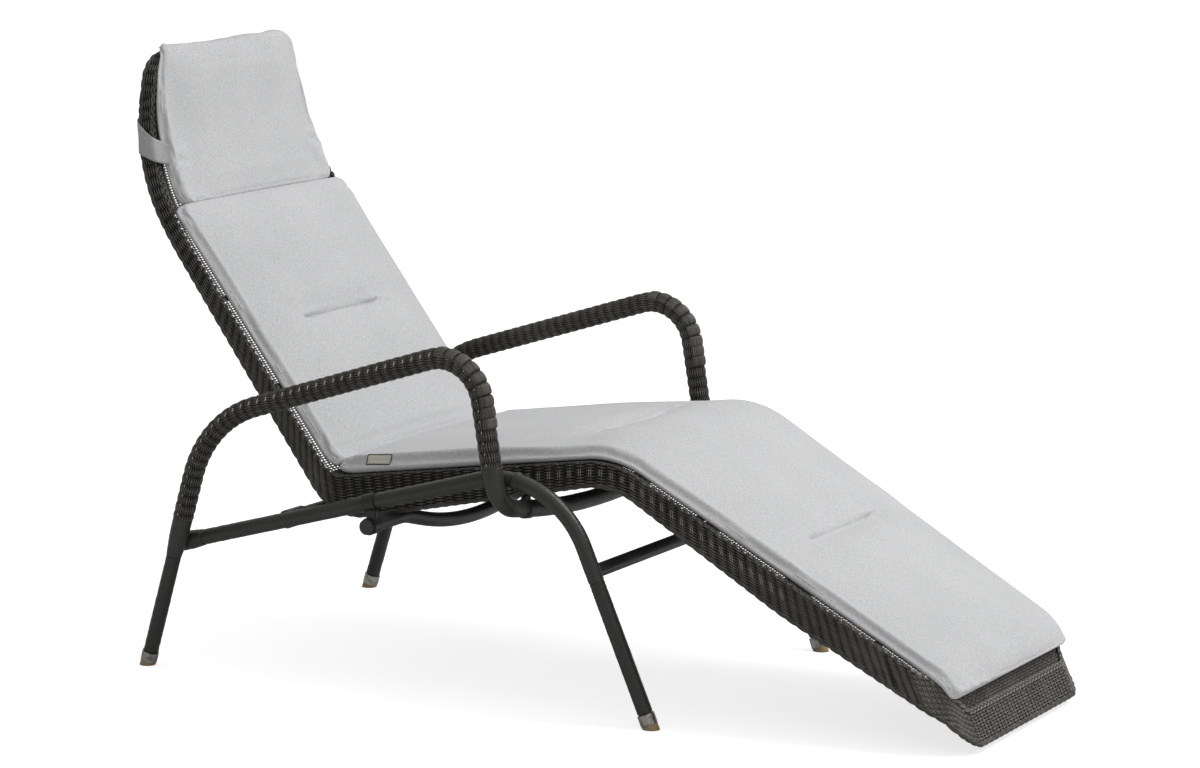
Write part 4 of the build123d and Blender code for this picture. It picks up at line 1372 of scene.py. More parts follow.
    def wind_rails(self) -> None:
        """Cane on each rail, from its rear binding round its bend to the thinner cane of the leg."""
        for side in Side:
            path = self.stance.rail_path(side)
            path = path[path[:, 0] > self.stance.rail_start[0] + self.binding_length]
            upper = path[(path[:, 2] > self.leg_cane_top_z) | (path[:, 0] < self.stance.rail_bend[0])]
            name = side.name.lower()
            self.wind(f"rail_cane_turns_{name}", f"rail_cane_{name}", upper, self.rail_radius)

    def wind_legs(self) -> None:
        """Thin cane on the four legs, from the ferrules up."""
        for side in Side:
            rear = self.between(self.stance.arm_path(side), (-math.inf, self.ferrule_top),
                                (self.stance.leg_bend[0], self.binding_bottom_z))
            front = self.between(self.stance.rail_path(side), (self.stance.rail_bend[0], self.ferrule_top),
                                 (math.inf, self.leg_cane_top_z))
            for name, leg in (("rear", rear), ("front", front)):
                self.wind(f"{name}_leg_cane_turns", f"{name}_leg_cane", leg, self.leg_radius,
                          self.leg_rise, self.leg_tone)

    def wind_posts(self) -> None:
        """Smooth cane down each post and round its foot, under a tapered collar."""
        for side in Side:
            post = self.between(self.stance.arm_path(side), (self.stance.arm_bend[0], -math.inf),
                                (math.inf, self.collar_top_z))
            known = lengths_of(post)
            for part, radius in ((known < self.collar_length, (self.collar_radius, self.post_radius)),
                                 (known > self.collar_length - self.collar_overlap, self.post_radius)):
                self.wind("post_cane_turns", "post_cane", post[part], radius, self.post_rise)

    def wind_cross_tubes(self) -> None:
        """Cane on the front and rear cross tubes, and the rings that bind the rear one."""
        self.wind("front_cross_cane_turns", "front_cross_tube_cane", self.stance.front_cross_path(),
                  self.post_radius, self.post_rise)
        end = self.stance.rail_place(Side.LEFT, self.stance.rear_cross_x)
        end = end - (0.0, self.rail_radius - self.ring_sink, 0.0)
        inner = end - (0.0, self.ring_length, 0.0)
        self.wind("rear_cross_cane_turns", "rear_cross_tube_cane", np.stack([inner * (1, -1, 1), inner]),
                  self.leg_radius, self.leg_rise)
        for side in Side:
            self.wind("rear_cross_ring_turns", "rear_cross_tube_bindings",
                      np.stack([inner, end]) * (1, side.value, 1), self.ring_radius, self.lashing_rise)

    def wind_joints(self) -> None:
        """Thick binding where a rail meets its rear leg, wound round both."""
        names, thick = ("rear_joint_binding_turns", "rear_joint_binding"), self.binding_radius
        for side in Side:
            leg = self.between(self.stance.arm_path(side), (-math.inf, self.binding_bottom_z),
                               (self.stance.leg_bend[0], self.binding_top_z))
            self.wind(*names, leg, (self.leg_radius + self.binding_lip, thick, thick + self.binding_lip),
                      self.binding_rises[0])
            rail = self.stance.rail_path(side)
            start = rail[0] - directions_of(rail)[0] * self.binding_overlap
            rail = np.vstack([start, rail[rail[:, 0] < self.stance.rail_start[0] + self.binding_length]])
            self.wind(*names, rail, (thick, thick, self.rail_radius + self.binding_end_lip),
                      self.binding_rises[1])

    def wind_lashings(self) -> None:
        """Turns of cane on each rail, on either side of the post that it passes."""
        reach = self.post_radius + self.lashing_gap
        for side in Side:
            for low in (-reach - self.lashing_length, reach):
                start = self.stance.post_foot_x + low
                turns = self.between(self.stance.rail_path(side), (start, -math.inf),
                                     (start + self.lashing_length, math.inf))
                self.wind("rail_lashing_turns", "rail_lashings", turns, self.lashing_radius,
                          self.lashing_rise)


# The cushion

@dataclass
class CushionLine:
    """Line that the cushion lies along, measured along the deck from the shell's top."""

    corners: tuple = ((-90.0, 1000.6), (-57.7, 1000.6), (-57.7, 825.0), (312.2, 333.2), (837.4, 409.5),
                      (1385.0, 106.3), (1419.0, 58.3))
    radii: tuple = (12.0, 310.0, 75.0, 150.0, 60.0)
    seat_corner: int = 3
    head_length: float = 264.0
    foot_margin: float = 31.0
    back_tuft: float = 247.0
    knee_tuft: float = 434.0
    calf_tuft: float = 818.0

    def __post_init__(self) -> None:
        """Works out the line and the places of its seams and tufts."""
        self.line = rounded_path([(x, 0.0, z) for x, z in self.corners], self.radii, 1.0)
        self.directions = directions_of(self.line)
        turn = (2 - math.pi / 2) * self.radii[0]
        self.lap = self.corners[1][0] - self.corners[0][0] - turn
        self.lengths = lengths_of(self.line) - self.lap
        self.seat_seam = float(self.lengths[nearest(self.line, *self.corners[self.seat_corner])])
        self.end = float(self.lengths[-1]) - self.foot_margin
        self.tufts = (self.head_length + self.back_tuft, self.seat_seam + self.knee_tuft,
                      self.seat_seam + self.calf_tuft)

    def at(self, lengths: Array, across: Array, height: Array) -> Array:
        """Points over the line.

        Args:
            lengths: how far along it each point lies.
            across: each point's Y.
            height: how far over it, towards the sitter.

        Returns:
            Points in chair millimetres, in the shape of the arguments.
        """
        x, z, along_x, along_z = (np.interp(lengths, self.lengths, rows[:, axis])
                                  for rows in (self.line, self.directions) for axis in (0, 2))
        size = np.hypot(along_x, along_z)
        return np.stack([x - along_z / size * height, across, z + along_x / size * height], axis=-1)


Table = dict[float, float]


def read(table: Table, places: Array) -> Array:
    """Values of a table, read at places between its own."""
    return np.interp(places, list(table), list(table.values()))


@dataclass
class PillowSpec:
    """Sizes of one section of the cushion, as tables of values by place along the cushion line."""

    name: str
    node: str
    start: float
    end: float
    widths: Table
    top_widths: Table
    edges: Table
    crowns: Table
    tufts: tuple[float, ...] = ()
    lifts: Table = field(default_factory=lambda: {0: 0})
    creases: tuple[tuple[float, ...], ...] = ()
    corner_radius: float = 15.0
    end_radius: float = 8.0
    seed: int = 1


@dataclass
class Pillow:
    """One padded section: a sewn cover, blown up as cloth between its seams."""

    spec: PillowSpec
    line: CushionLine
    finishes: Finishes
    spacing: float = 6.5
    top_points: int = 46
    side_points: int = 13
    side_depth: float = 10.0
    side_limit: float = 0.3
    side_power: float = 3.2
    crown_power: float = 3.0
    bulge: float = 2.5
    lift_power: float = 10.0
    tuft_half_length: float = 113.0
    tuft_steps: tuple[float, ...] = (-5.5, -3.0, -1.2, 0.0, 1.5, 4.0)
    tuft_blends: tuple[float, float] = (4.0, 20.0)
    broad_dip: float = 8.0
    broad_reach: float = 30.0
    sharp_dip: float = 15.0
    sharp_reaches: tuple[float, float] = (3.6, 10.0)
    fan_depth: float = 4.0
    fan_reaches: tuple[float, float] = (7.0, 26.0)
    crease_hold: float = 0.7
    hold_reach: float = 2.0
    hold_rise: float = 0.1
    sewn_distance: float = 0.02
    sway: float = 1.1
    sway_waves: tuple[float, float] = (47.0, 58.0)
    stitch_share: float = -0.1
    stitch_depth: float = 2.4
    groove_rise: float = 0.25
    groove_spread: float = 0.22
    end_level: float = 0.42
    fold_depth: float = 0.9
    fold_pitch: float = 15.5
    fold_lead: float = 20.0
    fold_reach: float = 150.0
    fold_least: float = 0.4
    fold_waves: tuple[float, float] = (61.0, 37.0)
    fold_unevenness: float = 1.6
    fold_level: float = 0.45
    flare: float = 2.5
    flare_limit: float = 0.5
    thread_radius: float = 0.8
    stretch: float = 0.018
    pressure: float = 4.0
    frames: int = 20
    cap: float = 7.0

    def build(self) -> None:
        """Builds the section and the thread along its sides."""
        self.lay_out()
        piece = self.cover()
        self.blow_up(piece)
        self.add_threads(piece)
        self.refine(piece)

    def lay_out(self) -> None:
        """Works out the stations along the section and the places round it."""
        spec = self.spec
        total = spec.end - spec.start
        even = np.linspace(0.0, total, max(8, round(total / self.spacing)) + 1)
        close = spec.end_radius * (1 - np.cos(np.linspace(0.0, math.pi / 2, 7)[:-1]))
        inner = even[(even > close[-1] + 2) & (even < total - close[-1] - 2)]
        fine = [tuft - spec.start + step for tuft in spec.tufts for step in self.tuft_steps]
        far = [value for value in inner if all(abs(value - place) > 2.0 for place in fine)]
        self.stations = np.sort(np.concatenate([close, far, fine, total - close])) + spec.start
        angles = np.linspace(-math.pi / 2, math.pi / 2, self.side_points)[1:-1]
        flat, level = np.linspace(-1.0, 1.0, self.top_points), np.ones(self.top_points)
        side, rise = (np.sign(value) * np.abs(value) ** (2 / self.side_power)
                      for value in (np.cos(angles), np.sin(angles)))
        edge = np.ones(len(side))
        self.share = np.concatenate([flat, edge, flat[::-1], -edge])
        self.reach = np.concatenate([0 * flat, side, 0 * flat, -side[::-1]])
        self.rise = np.concatenate([-level, rise, level, rise[::-1]])
        self.on_top = np.concatenate([0 * level, 0 * edge, level, 0 * edge]).astype(bool)
        self.near = np.minimum(self.stations - spec.start, spec.end - self.stations)

    def half_widths(self, table: Table) -> Array:
        """Half width at each station, rounded in plan at both ends.

        Args:
            table: half widths by place, at the base or at the top edge.

        Returns:
            A column of half widths.
        """
        radius = self.spec.corner_radius
        short = np.clip(radius - self.near, 0.0, radius)
        return (read(table, self.stations) - radius + np.sqrt(radius**2 - short**2))[:, None]

    def surface(self) -> tuple[Array, Array, Array]:
        """Points of the sewn shape before it is blown up.

        Returns:
            Places along the line, across it and over it, each stations by places round.
        """
        spec = self.spec
        lengths = self.stations[:, None]
        shut = np.sqrt(np.clip(1 - np.clip(1 - self.near / spec.end_radius, 0, 1) ** 2, 0, 1))[:, None]
        edge, crown, lift = (read(table, self.stations)[:, None]
                             for table in (spec.edges, spec.crowns, spec.lifts))
        low, high = self.half_widths(spec.widths), self.half_widths(spec.top_widths)
        inner = low + (high - low) * (1 + self.rise) / 2 - self.side_depth
        across = self.share * inner + self.reach * (self.side_depth + self.bulge * shut)
        across = across + self.side_wrinkles(lengths, shut)
        height = edge / 2 * (1 + self.rise)
        domed = (crown - edge) * (1 - np.abs(self.share) ** self.crown_power)
        height = height + self.on_top * (domed - self.dips(lengths, across))
        level = edge * self.end_level
        height = level + (height - level) * shut
        return lengths + 0 * across, across, height + lift * np.abs(self.share) ** self.lift_power

    def side_wrinkles(self, lengths: Array, shut: Array) -> Array:
        """Seam groove along the sides, and small folds of the side band where the cushion bends.

        Args:
            lengths: place of each station.
            shut: how open the section is at each station.

        Returns:
            Moves along Y, stations by places round.
        """
        over = self.rise - self.stitch_share - self.groove_rise
        groove = self.stitch_depth * np.exp(-(over / self.groove_spread) ** 2)
        groove = groove - self.flare * np.clip(self.stitch_share - self.rise, 0, self.flare_limit)
        bends = np.exp(-((lengths - self.line.tufts[1] + self.fold_lead) / self.fold_reach) ** 2)
        slow, uneven = (lengths / wave for wave in self.fold_waves)
        slow = np.sin(slow + self.spec.seed) * 0.5 + 0.5
        pleats = np.sin(2 * math.pi * lengths / self.fold_pitch + self.fold_unevenness * np.sin(uneven))
        folds = self.fold_depth * (bends + self.fold_least) * slow * pleats
        on_side = np.abs(self.reach) > self.side_limit
        side = on_side * np.exp(-((self.rise + self.fold_level) / self.fold_level) ** 2)
        return -np.sign(self.reach) * shut * (groove * on_side + folds * side)

    def dips(self, lengths: Array, across: Array) -> Array:
        """How far the sewn lines draw the top down, with short creases that fan out from their ends.

        Args:
            lengths: place of each station.
            across: Y of each point.

        Returns:
            Depths in millimetres.
        """
        depth = np.zeros_like(across)
        for tuft in self.spec.tufts:
            away = lengths - tuft
            past_end = np.abs(across) - self.tuft_half_length
            inside, wide = (1 / (1 + np.exp(past_end / blend)) for blend in self.tuft_blends)
            depth += self.broad_dip * wide * np.exp(-(away / self.broad_reach) ** 2)
            reach = np.where(away < 0, *self.sharp_reaches)
            depth += self.sharp_dip * inside * np.exp(-np.abs(away) / reach)
            for sign in (1, -1):
                past = across - sign * self.tuft_half_length
                radius = np.hypot(away, past) + 1e-6
                angle = np.arctan2(away, past * sign)
                start, end = (np.exp(-radius / reach) for reach in self.fan_reaches)
                fan = np.cos(5 * angle + self.spec.seed) * end * (1 - start)
                depth += self.fan_depth * fan
        for place, aside, reach_along, reach_across, deep in self.spec.creases:
            away = ((lengths - place) / reach_along) ** 2 + ((across - aside) / reach_across) ** 2
            depth += deep * np.exp(-away)
        along, aside = self.sway_waves
        slow = np.sin(lengths / along + self.spec.seed) * np.sin(across / aside + 1.3 * self.spec.seed)
        return depth + self.sway * slow * (1 - np.abs(self.share) ** 3)

    def cover(self) -> bpy.types.Object:
        """Makes the cover as a closed mesh, its ends sewn shut, and marks what is held and where thread runs.

        Returns:
            The new object.
        """
        lengths, across, height = self.surface()
        steps = np.hypot(*(np.diff(values, axis=1, append=values[:, :1]) for values in (across, height)))
        girth = np.concatenate([[0.0], np.mean(np.cumsum(steps, axis=1), axis=0)])
        quads, places = grid(self.stations, girth, len(across), flip=True)
        points = to_frame(self.line.at(lengths, across, height).reshape(-1, 3))
        piece = make_piece(self.spec.name, points, quads.tolist(), self.finishes.cloth, Body.CUSHION,
                           [self.spec.node], places)
        mark_points(piece.data, "held", self.held(lengths, across))
        sides = np.zeros(across.shape)
        for sign in (1.0, -1.0):
            off_side = sign * self.reach < self.side_limit
            sides[:, np.argmin(np.abs(self.rise - self.stitch_share) + off_side * 9)] = sign
        mark_points(piece.data, "thread", sides)
        sewn = bmesh.new()
        sewn.from_mesh(piece.data)
        bmesh.ops.remove_doubles(sewn, verts=sewn.verts, dist=self.sewn_distance * MM)
        sewn.to_mesh(piece.data)
        sewn.free()
        return piece

    def held(self, lengths: Array, across: Array) -> Array:
        """How firmly each point is held.

        Args:
            lengths: place of each point along the line.
            across: Y of each point.

        Returns:
            1 at the base, the seams, the sewn lines and the creases, 0 where it is free.
        """
        held = (self.rise < self.stitch_share + self.hold_rise) | (self.near < self.hold_reach)[:, None]
        for tuft in self.spec.tufts:
            held = held | (self.on_top & (np.abs(lengths - tuft) < self.hold_reach)
                           & (np.abs(across) < self.tuft_half_length + self.hold_reach))
        for place, aside, reach_along, reach_across, _ in self.spec.creases:
            away = ((lengths - place) / reach_along) ** 2 + ((across - aside) / reach_across) ** 2
            held = held | (self.on_top & (away < self.crease_hold))
        return held.astype(float)

    def blow_up(self, piece: bpy.types.Object) -> None:
        """Blows the cover up as cloth that is a little too large for its seams, and keeps the shape.

        Args:
            piece: the sewn cover.
        """
        mesh = piece.data
        before = values_of(mesh.vertices, "co", 3)
        held = values_of(mesh.attributes["held"].data, "value")
        group = piece.vertex_groups.new(name="held")
        group.add(np.flatnonzero(held > 0.5).tolist(), 1.0, "REPLACE")
        cloth = piece.modifiers.new("cover", "CLOTH")
        settings = {"quality": 5, "mass": 0.25, "bending_stiffness": 0.8, "vertex_group_mass": group.name,
                    "use_pressure": True, "uniform_pressure_force": self.pressure,
                    "shrink_min": -self.stretch}
        for name, value in settings.items():
            setattr(cloth.settings, name, value)
        cloth.settings.effector_weights.gravity = 0.0
        cloth.point_cache.frame_start = 1
        cloth.point_cache.frame_end = self.frames
        scene = bpy.context.scene
        for number in range(1, self.frames + 1):
            scene.frame_set(number)
        blown = piece.evaluated_get(bpy.context.evaluated_depsgraph_get()).to_mesh()
        moved = values_of(blown.vertices, "co", 3) - before
        scene.frame_set(1)
        piece.modifiers.remove(cloth)
        piece.vertex_groups.remove(group)
        size = np.linalg.norm(moved, axis=1, keepdims=True)
        limit = self.cap * MM
        moved *= limit * np.tanh(size / limit) / np.maximum(size, 1e-9)
        mesh.vertices.foreach_set("co", (before + moved).ravel())
        mesh.update()
        LOG.info("%s: blown up by at most %.1f mm", piece.name, float(size.max()) / MM)

    def add_threads(self, piece: bpy.types.Object) -> None:
        """Lays a sewing thread in the groove along each side.

        Args:
            piece: the cover.
        """
        points = values_of(piece.data.vertices, "co", 3) / MM + ORIGIN
        sides = values_of(piece.data.attributes["thread"].data, "value")
        stock = Stock()
        for sign in (1.0, -1.0):
            path = points[np.abs(sides - sign) < 0.1][4:-4] + (0.0, sign * 0.3, 0.0)
            stock.tube(path, np.array([0.0, sign, 0.0]), self.thread_radius, 6)
        stock.make(f"{self.spec.name}_thread", self.finishes.thread, Body.CUSHION, "cushion_fabric")

    def refine(self, piece: bpy.types.Object) -> None:
        """Subdivides the cover once, so that its folds are smooth.

        Args:
            piece: the cover.
        """
        smoother = piece.modifiers.new("smoother", "SUBSURF")
        smoother.levels = smoother.render_levels = 1
        with bpy.context.temp_override(object=piece, active_object=piece, selected_objects=[piece]):
            bpy.ops.object.modifier_apply(modifier=smoother.name)


@dataclass
class LoungeCushion:
    """The three padded sections of the cushion, with its strap and its tag."""

    finishes: Finishes
    line: CushionLine = field(default_factory=CushionLine)
    gap: float = 0.2

    def sections(self) -> list[PillowSpec]:
        """Sizes of the sections.

        Returns:
            One set for each, from the head to the foot.
        """
        line, gap = self.line, self.gap
        neck, seam, end = line.head_length, line.seat_seam, line.end
        back, knee, calf = line.tufts
        return [
            PillowSpec(
                "head_pillow", "head_cushion", 6 - line.lap, neck - gap,
                widths={-27: 135, -18: 158, -8: 175, 0: 184, 12: 192, 31: 199, 85: 208, 134: 212, 195: 219,
                        243: 221, neck: 219},
                top_widths={-27: 130, -18: 152, -8: 168, 0: 177, 12: 185, 31: 193, 85: 202, 134: 207,
                            195: 215, 243: 215, neck: 210},
                edges={-27: 12, 0: 17, 12: 18, 31: 19, 85: 23, 134: 24, 195: 23, 243: 21, neck: 18},
                crowns={-27: 10, -8: 13, 5: 17, 30: 27, 60: 32, 90: 35, 170: 38, 225: 36, neck: 26},
                lifts={-27: 1, -5: -1, 12: -2.5, 45: -1.5, 85: 0.5, 134: 1.5, 195: 3, 243: 0},
                creases=((188, -196, 5, 20, 7), (188, 196, 5, 20, 7)), seed=2),
            PillowSpec(
                "back_pillow", "back_cushion", neck + gap, seam - gap,
                widths={neck: 245, 400: 243.5, 600: 243, 900: 244},
                top_widths={neck: 236, 300: 240, 400: 238, 600: 238, 900: 241},
                edges={neck: 24, 300: 28, seam - 40: 28, seam: 22},
                crowns={neck: 30, 310: 40, 380: 45, back - 40: 44, back: 40, back + 40: 44, back + 120: 46,
                        seam - 40: 40, seam: 29},
                tufts=(back,), seed=3),
            PillowSpec(
                "seat_and_leg_pillow", "seat_leg_cushion", seam + gap, end,
                widths={seam: 246, seam + 60: 253, knee: 252, calf: 231, end: 217},
                top_widths={seam: 241, seam + 60: 247, knee: 244, calf: 227, end - 60: 217, end: 208},
                edges={seam: 27, seam + 40: 36, knee - 150: 36, knee: 30, end - 50: 28, end: 20},
                crowns={seam: 30, seam + 40: 42, seam + 120: 47, knee - 50: 45, knee: 41, knee + 50: 43,
                        knee + 180: 44, calf - 50: 42, calf: 38, calf + 50: 42, end - 50: 38, end: 24},
                lifts={seam: 0, seam + 60: 1.5, knee: 1.5, calf: 0},
                tufts=(knee, calf), creases=((end - 10, -172, 14, 4.5, 6),), seed=4),
        ]

    def build(self) -> None:
        """Builds the sections, the strap and the tag."""
        for spec in self.sections():
            Pillow(spec, self.line, self.finishes).build()
        CushionStrap(self.finishes).build()
        BlankTag(self.finishes).build()


@dataclass
class CushionStrap:
    """Elastic band from one side of the head section round the back of the shell to the other.

    Each place of its route is a share of the way from the rim to the shell's lower edge, a step ahead of
    it, a reach beyond the shell's half width, and the heights of the band's upper and lower edge.
    """

    finishes: Finishes
    route: tuple = ((0, 22, -25, 850, 818), (0, 12, -17, 855, 820), (0, 6.5, -6, 860, 823),
                    (0, 4.2, 1.5, 864, 825), (0.2, 0, 2.6, 870, 828), (0.85, 0, 2.4, 885, 835),
                    (1, -2, -0.5, 892, 838), (1, -2.8, -9, 894, 840), (1, -2.8, -60, 897, 843))
    shape: ShellShape = field(default_factory=ShellShape)
    half_thickness: float = 0.7
    spacing: float = 4.0
    across_points: int = 10
    hem_and_shadow_line: float = 0.35
    hem_start: float = 0.4
    ripple: float = 0.35
    ripple_turn: float = 9.0
    ripple_length: float = 13.0
    flat_width: float = 48.0

    def edge(self, column: int) -> Array:
        """One long edge of the band.

        Args:
            column: 0 for the upper edge, 1 for the lower one.

        Returns:
            Points from the right side round the back to the left.
        """
        share, ahead, reach, *heights = np.array(self.route).T
        height = heights[column]
        rim, low = (np.interp(-height, -line[:, 2], line[:, 0])
                    for line in (self.shape.deck, self.shape.lower))
        half = self.shape.side_half_width(np.stack([rim, 0 * rim, height], axis=1))
        left = np.stack([rim + (low - rim) * share + ahead, half + reach, height], axis=1)
        return np.vstack([left * (1, -1, 1), left[::-1]])

    def build(self) -> None:
        """Builds the band as one closed skin round its two edges."""
        upper, lower = self.edge(0), self.edge(1)
        known = lengths_of((upper + lower) / 2)
        at = np.linspace(0.0, known[-1], round(known[-1] / self.spacing))
        upper, lower = (np.stack([smoothed(column, 3) for column in read_at(at, known, line).T], axis=1)
                        for line in (upper, lower))
        out = unit(np.cross(directions_of((upper + lower) / 2), lower - upper))[:, None]
        share = np.linspace(0.0, 1.0, self.across_points)
        ripple = self.ripple * np.sin(share * self.ripple_turn) * np.cos(at / self.ripple_length)[:, None]
        middle = upper[:, None] + (lower - upper)[:, None] * share[:, None] + out * ripple[..., None]
        thick = self.half_thickness * (1 + self.hem_and_shadow_line * (np.abs(share - 0.5) > self.hem_start))
        front, back = (middle + sign * out * thick[:, None] for sign in (1, -1))
        points = np.concatenate([front, back[:, ::-1]], axis=1)
        around = points.shape[1]
        quads, _ = grid(at, np.arange(around + 1), len(at))
        ends = [list(range(around))[::-1], list(range((len(at) - 1) * around, len(at) * around))]
        piece = make_piece("head_strap", to_frame(points.reshape(-1, 3)), quads.tolist() + ends,
                           self.finishes.strap, Body.CUSHION, ["cushion_strap"])


@dataclass
class BlankTag:
    """Blank woven tape sewn flat on the side of the seat section, edged with a dark hem whose colour is a
    painted shadow.
    """

    finishes: Finishes
    low: tuple[float, float] = (378.0, 360.5)
    high: tuple[float, float] = (424.0, 375.5)
    lean: float = 4.3
    beside_y: float = -320.0
    half_thickness: float = 0.45
    sink: float = 0.3
    columns: int = 14
    rows: int = 6
    shadow_line_radius: float = 0.8

    def build(self) -> None:
        """Lays the tape on the cover, point by point, and gives it a back."""
        pillow = bpy.data.objects["seat_and_leg_pillow"]
        width, height = self.high[0] - self.low[0], self.high[1] - self.low[1]
        outer = []
        for x in np.linspace(self.low[0], self.high[0], self.columns):
            for z in np.linspace(self.low[1], self.high[1], self.rows):
                z = z + self.lean * (x - self.low[0]) / width - self.lean / 2
                start = to_frame(np.array([x, self.beside_y, z]))
                found, place, _, _ = pillow.ray_cast(start.tolist(), (0.0, 1.0, 0.0))
                outer.append(list(place) if found else start)
        outer = np.array(outer) - (0.0, 2 * self.half_thickness * MM, 0.0)
        points = np.vstack([outer, outer + (0.0, (2 * self.half_thickness + self.sink) * MM, 0.0)])
        index = np.arange(len(points)).reshape(2, self.columns, self.rows)
        faces = []
        for sheet, flip in zip(index, (1, -1)):
            quads = np.stack([sheet[:-1, :-1], sheet[1:, :-1], sheet[1:, 1:], sheet[:-1, 1:]], axis=-1)
            faces += quads.reshape(-1, 4)[:, ::flip].tolist()
        front, back = ([*sheet[:, 0], *sheet[-1, 1:], *sheet[-2::-1, -1], *sheet[0, -2:0:-1]]
                       for sheet in index)
        for here, there in zip(range(len(front)), [*range(1, len(front)), 0]):
            faces.append([int(front[here]), int(back[here]), int(back[there]), int(front[there])])
        piece = make_piece("side_tag", points, faces, self.finishes.tape, Body.CUSHION,
                           ["cushion_side_tag"])
        # A hem round the tape, a real edge whose dark colour is a painted shadow.
        hem_and_shadow_line = Stock()
        hem_and_shadow_line.tube(points[front] / MM + ORIGIN, np.array([0.0, -1.0, 0.0]), self.shadow_line_radius, 6, closed=True)
        hem_and_shadow_line.make("side_tag_hem", self.finishes.hem_and_shadow_line, Body.CUSHION, "tag_fabric")


# The studio

def aimed(name: str, data: bpy.types.ID, place: Sequence[float], target: Sequence[float]) -> bpy.types.Object:
    """Adds a camera or a light that looks at a point.

    Args:
        name: the object's name.
        data: the camera's or the light's data.
        place: where it stands, in metres.
        target: what it looks at.

    Returns:
        The new object.
    """
    thing = bpy.data.objects.new(name, data)
    thing.location = place
    thing.rotation_euler = (Vector(target) - Vector(place)).to_track_quat("-Z", "Y").to_euler()
    bpy.context.scene.collection.objects.link(thing)
    return thing


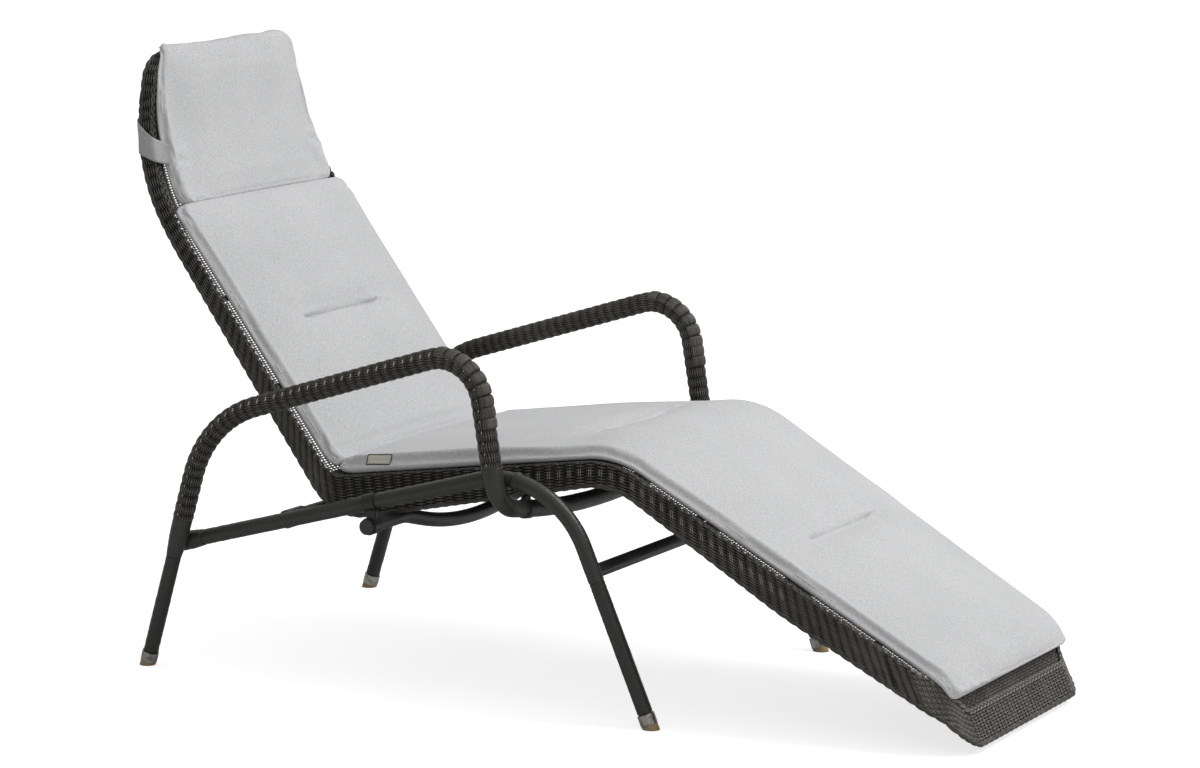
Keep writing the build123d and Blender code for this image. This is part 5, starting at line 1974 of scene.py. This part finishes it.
@dataclass
class Studio:
    """Camera, floor, backdrop and soft light."""

    lens: float = 116.5
    sensor: float = 36.0
    target: tuple[float, float, float] = (-0.0053, 0.0, 0.4775)
    place: tuple[float, float, float] = (3.0665, -5.4267, 1.5384)
    light_target: tuple[float, float, float] = (0.0, 0.0, 0.4)
    floor_half_size: float = 40.0
    floor_glow: float = 0.74
    bright_side: tuple[float, float, float] = (0.35, 0.45, 0.82)
    world_strengths: tuple[float, float] = (0.06, 0.64)

    def place_camera(self) -> None:
        """Puts the camera where the photograph was taken from."""
        data = bpy.data.cameras.new("camera")
        data.lens = self.lens
        data.sensor_width = self.sensor
        data.clip_end = 200.0
        scene = bpy.context.scene
        scene.camera = aimed("camera", data, self.place, self.target)
        scene.render.resolution_x = 1200
        scene.render.resolution_y = 768
        scene.view_settings.view_transform = "Standard"

    def light(self, name: str, place: tuple[float, float, float], size: float, power: float) -> None:
        """Adds a square soft light that faces the chair.

        Args:
            name: the light's name.
            place: where it hangs, in metres.
            size: length of its sides, in metres.
            power: its power, in watts.
        """
        data = bpy.data.lights.new(name, "AREA")
        data.shape = "SQUARE"
        data.size = size
        data.energy = power
        aimed(name, data, place, self.light_target)

    def build_floor(self) -> None:
        """Pale floor that shows white and keeps a faint shadow under the chair."""
        half = self.floor_half_size
        mesh = bpy.data.meshes.new("floor")
        mesh.from_pydata([(-half, -half, 0.0), (half, -half, 0.0), (half, half, 0.0), (-half, half, 0.0)],
                         [], [(0, 1, 2, 3)])
        material, tree, shader = new_finish("painted_studio_floor")
        shader.inputs["Base Color"].default_value = linear("#dadada")
        shader.inputs["Roughness"].default_value = 0.9
        glow = add_node(tree, "ShaderNodeEmission", {"Strength": self.floor_glow})
        both = add_node(tree, "ShaderNodeAddShader", {}, {0: shader, 1: glow})
        ray = add_node(tree, "ShaderNodeLightPath")
        seen = add_node(tree, "ShaderNodeMixShader", {},
                        {0: ray.outputs["Is Camera Ray"], 1: shader, 2: both})
        tree.links.new(seen.outputs[0], tree.nodes["Material Output"].inputs["Surface"])
        mesh.materials.append(material)
        floor = bpy.data.objects.new("floor", mesh)
        bpy.context.scene.collection.objects.link(floor)

    def build_world(self) -> None:
        """White behind the chair, and a dimmer even light from all round."""
        world = bpy.data.worlds.new("studio")
        world.use_nodes = True
        bpy.context.scene.world = world
        tree = world.node_tree
        dim = tree.nodes["Background"]
        dim.inputs["Color"].default_value = linear("#ffffff")
        place = add_node(tree, "ShaderNodeTexCoord").outputs["Generated"]
        towards = add_node(tree, "ShaderNodeVectorMath", {"operation": "DOT_PRODUCT", 1: self.bright_side},
                           {0: place})
        dimmest, brightest = self.world_strengths
        strength = add_node(tree, "ShaderNodeMapRange", {1: -1.0, 2: 1.0, 3: dimmest, 4: brightest},
                            {0: towards.outputs["Value"]})
        tree.links.new(strength.outputs[0], dim.inputs["Strength"])
        white = add_node(tree, "ShaderNodeBackground", {"Color": linear("#ffffff"), "Strength": 1.0})
        ray = add_node(tree, "ShaderNodeLightPath").outputs
        shiny = add_node(tree, "ShaderNodeMath", {"operation": "MAXIMUM"},
                         {0: ray["Is Camera Ray"], 1: ray["Is Transmission Ray"]})
        seen = add_node(tree, "ShaderNodeMixShader", {}, {0: shiny, 1: dim, 2: white})
        tree.links.new(seen.outputs[0], tree.nodes["World Output"].inputs["Surface"])

    def build(self) -> None:
        """Builds the floor, the world and the lights."""
        self.build_floor()
        self.build_world()
        self.light("key", place=(2.2, 1.1, 3.6), size=2.2, power=74.0)
        self.light("fill", place=(2.8, -3.2, 2.6), size=2.5, power=6.0)


def dress_cad(finishes: Finishes) -> None:
    """Gives the CAD solids that stay their finishes.

    Args:
        finishes: the chair's finishes.
    """
    by_slot = {
        "coated_tube": finishes.tube, "shell_frame": finishes.tube, "cap_plastic": finishes.cap,
        "ferrule_metal": finishes.steel, "glide_plastic": finishes.glide, "cane_winding": finishes.cane,
        "woven_fibre": finishes.strand, "cushion_fabric": finishes.cloth, "strap_fabric": finishes.strap,
        "tag_fabric": finishes.tape,
    }
    for row in frame["record"]["subparts"]:
        materials = frame["nodes"][row["node"]].data.materials
        materials.clear()
        materials.append(by_slot[row["material_slot"]])


def main() -> None:
    """Builds the chair and its studio."""
    logging.basicConfig(level=logging.INFO, format="%(message)s")
    finishes = Finishes()
    studio = Studio()
    studio.place_camera()
    dress_cad(finishes)
    WovenShell(ShellShape(), finishes).build()
    WoundFrame(finishes).build()
    LoungeCushion(finishes).build()
    studio.build()


if __name__ == "__main__":
    main()
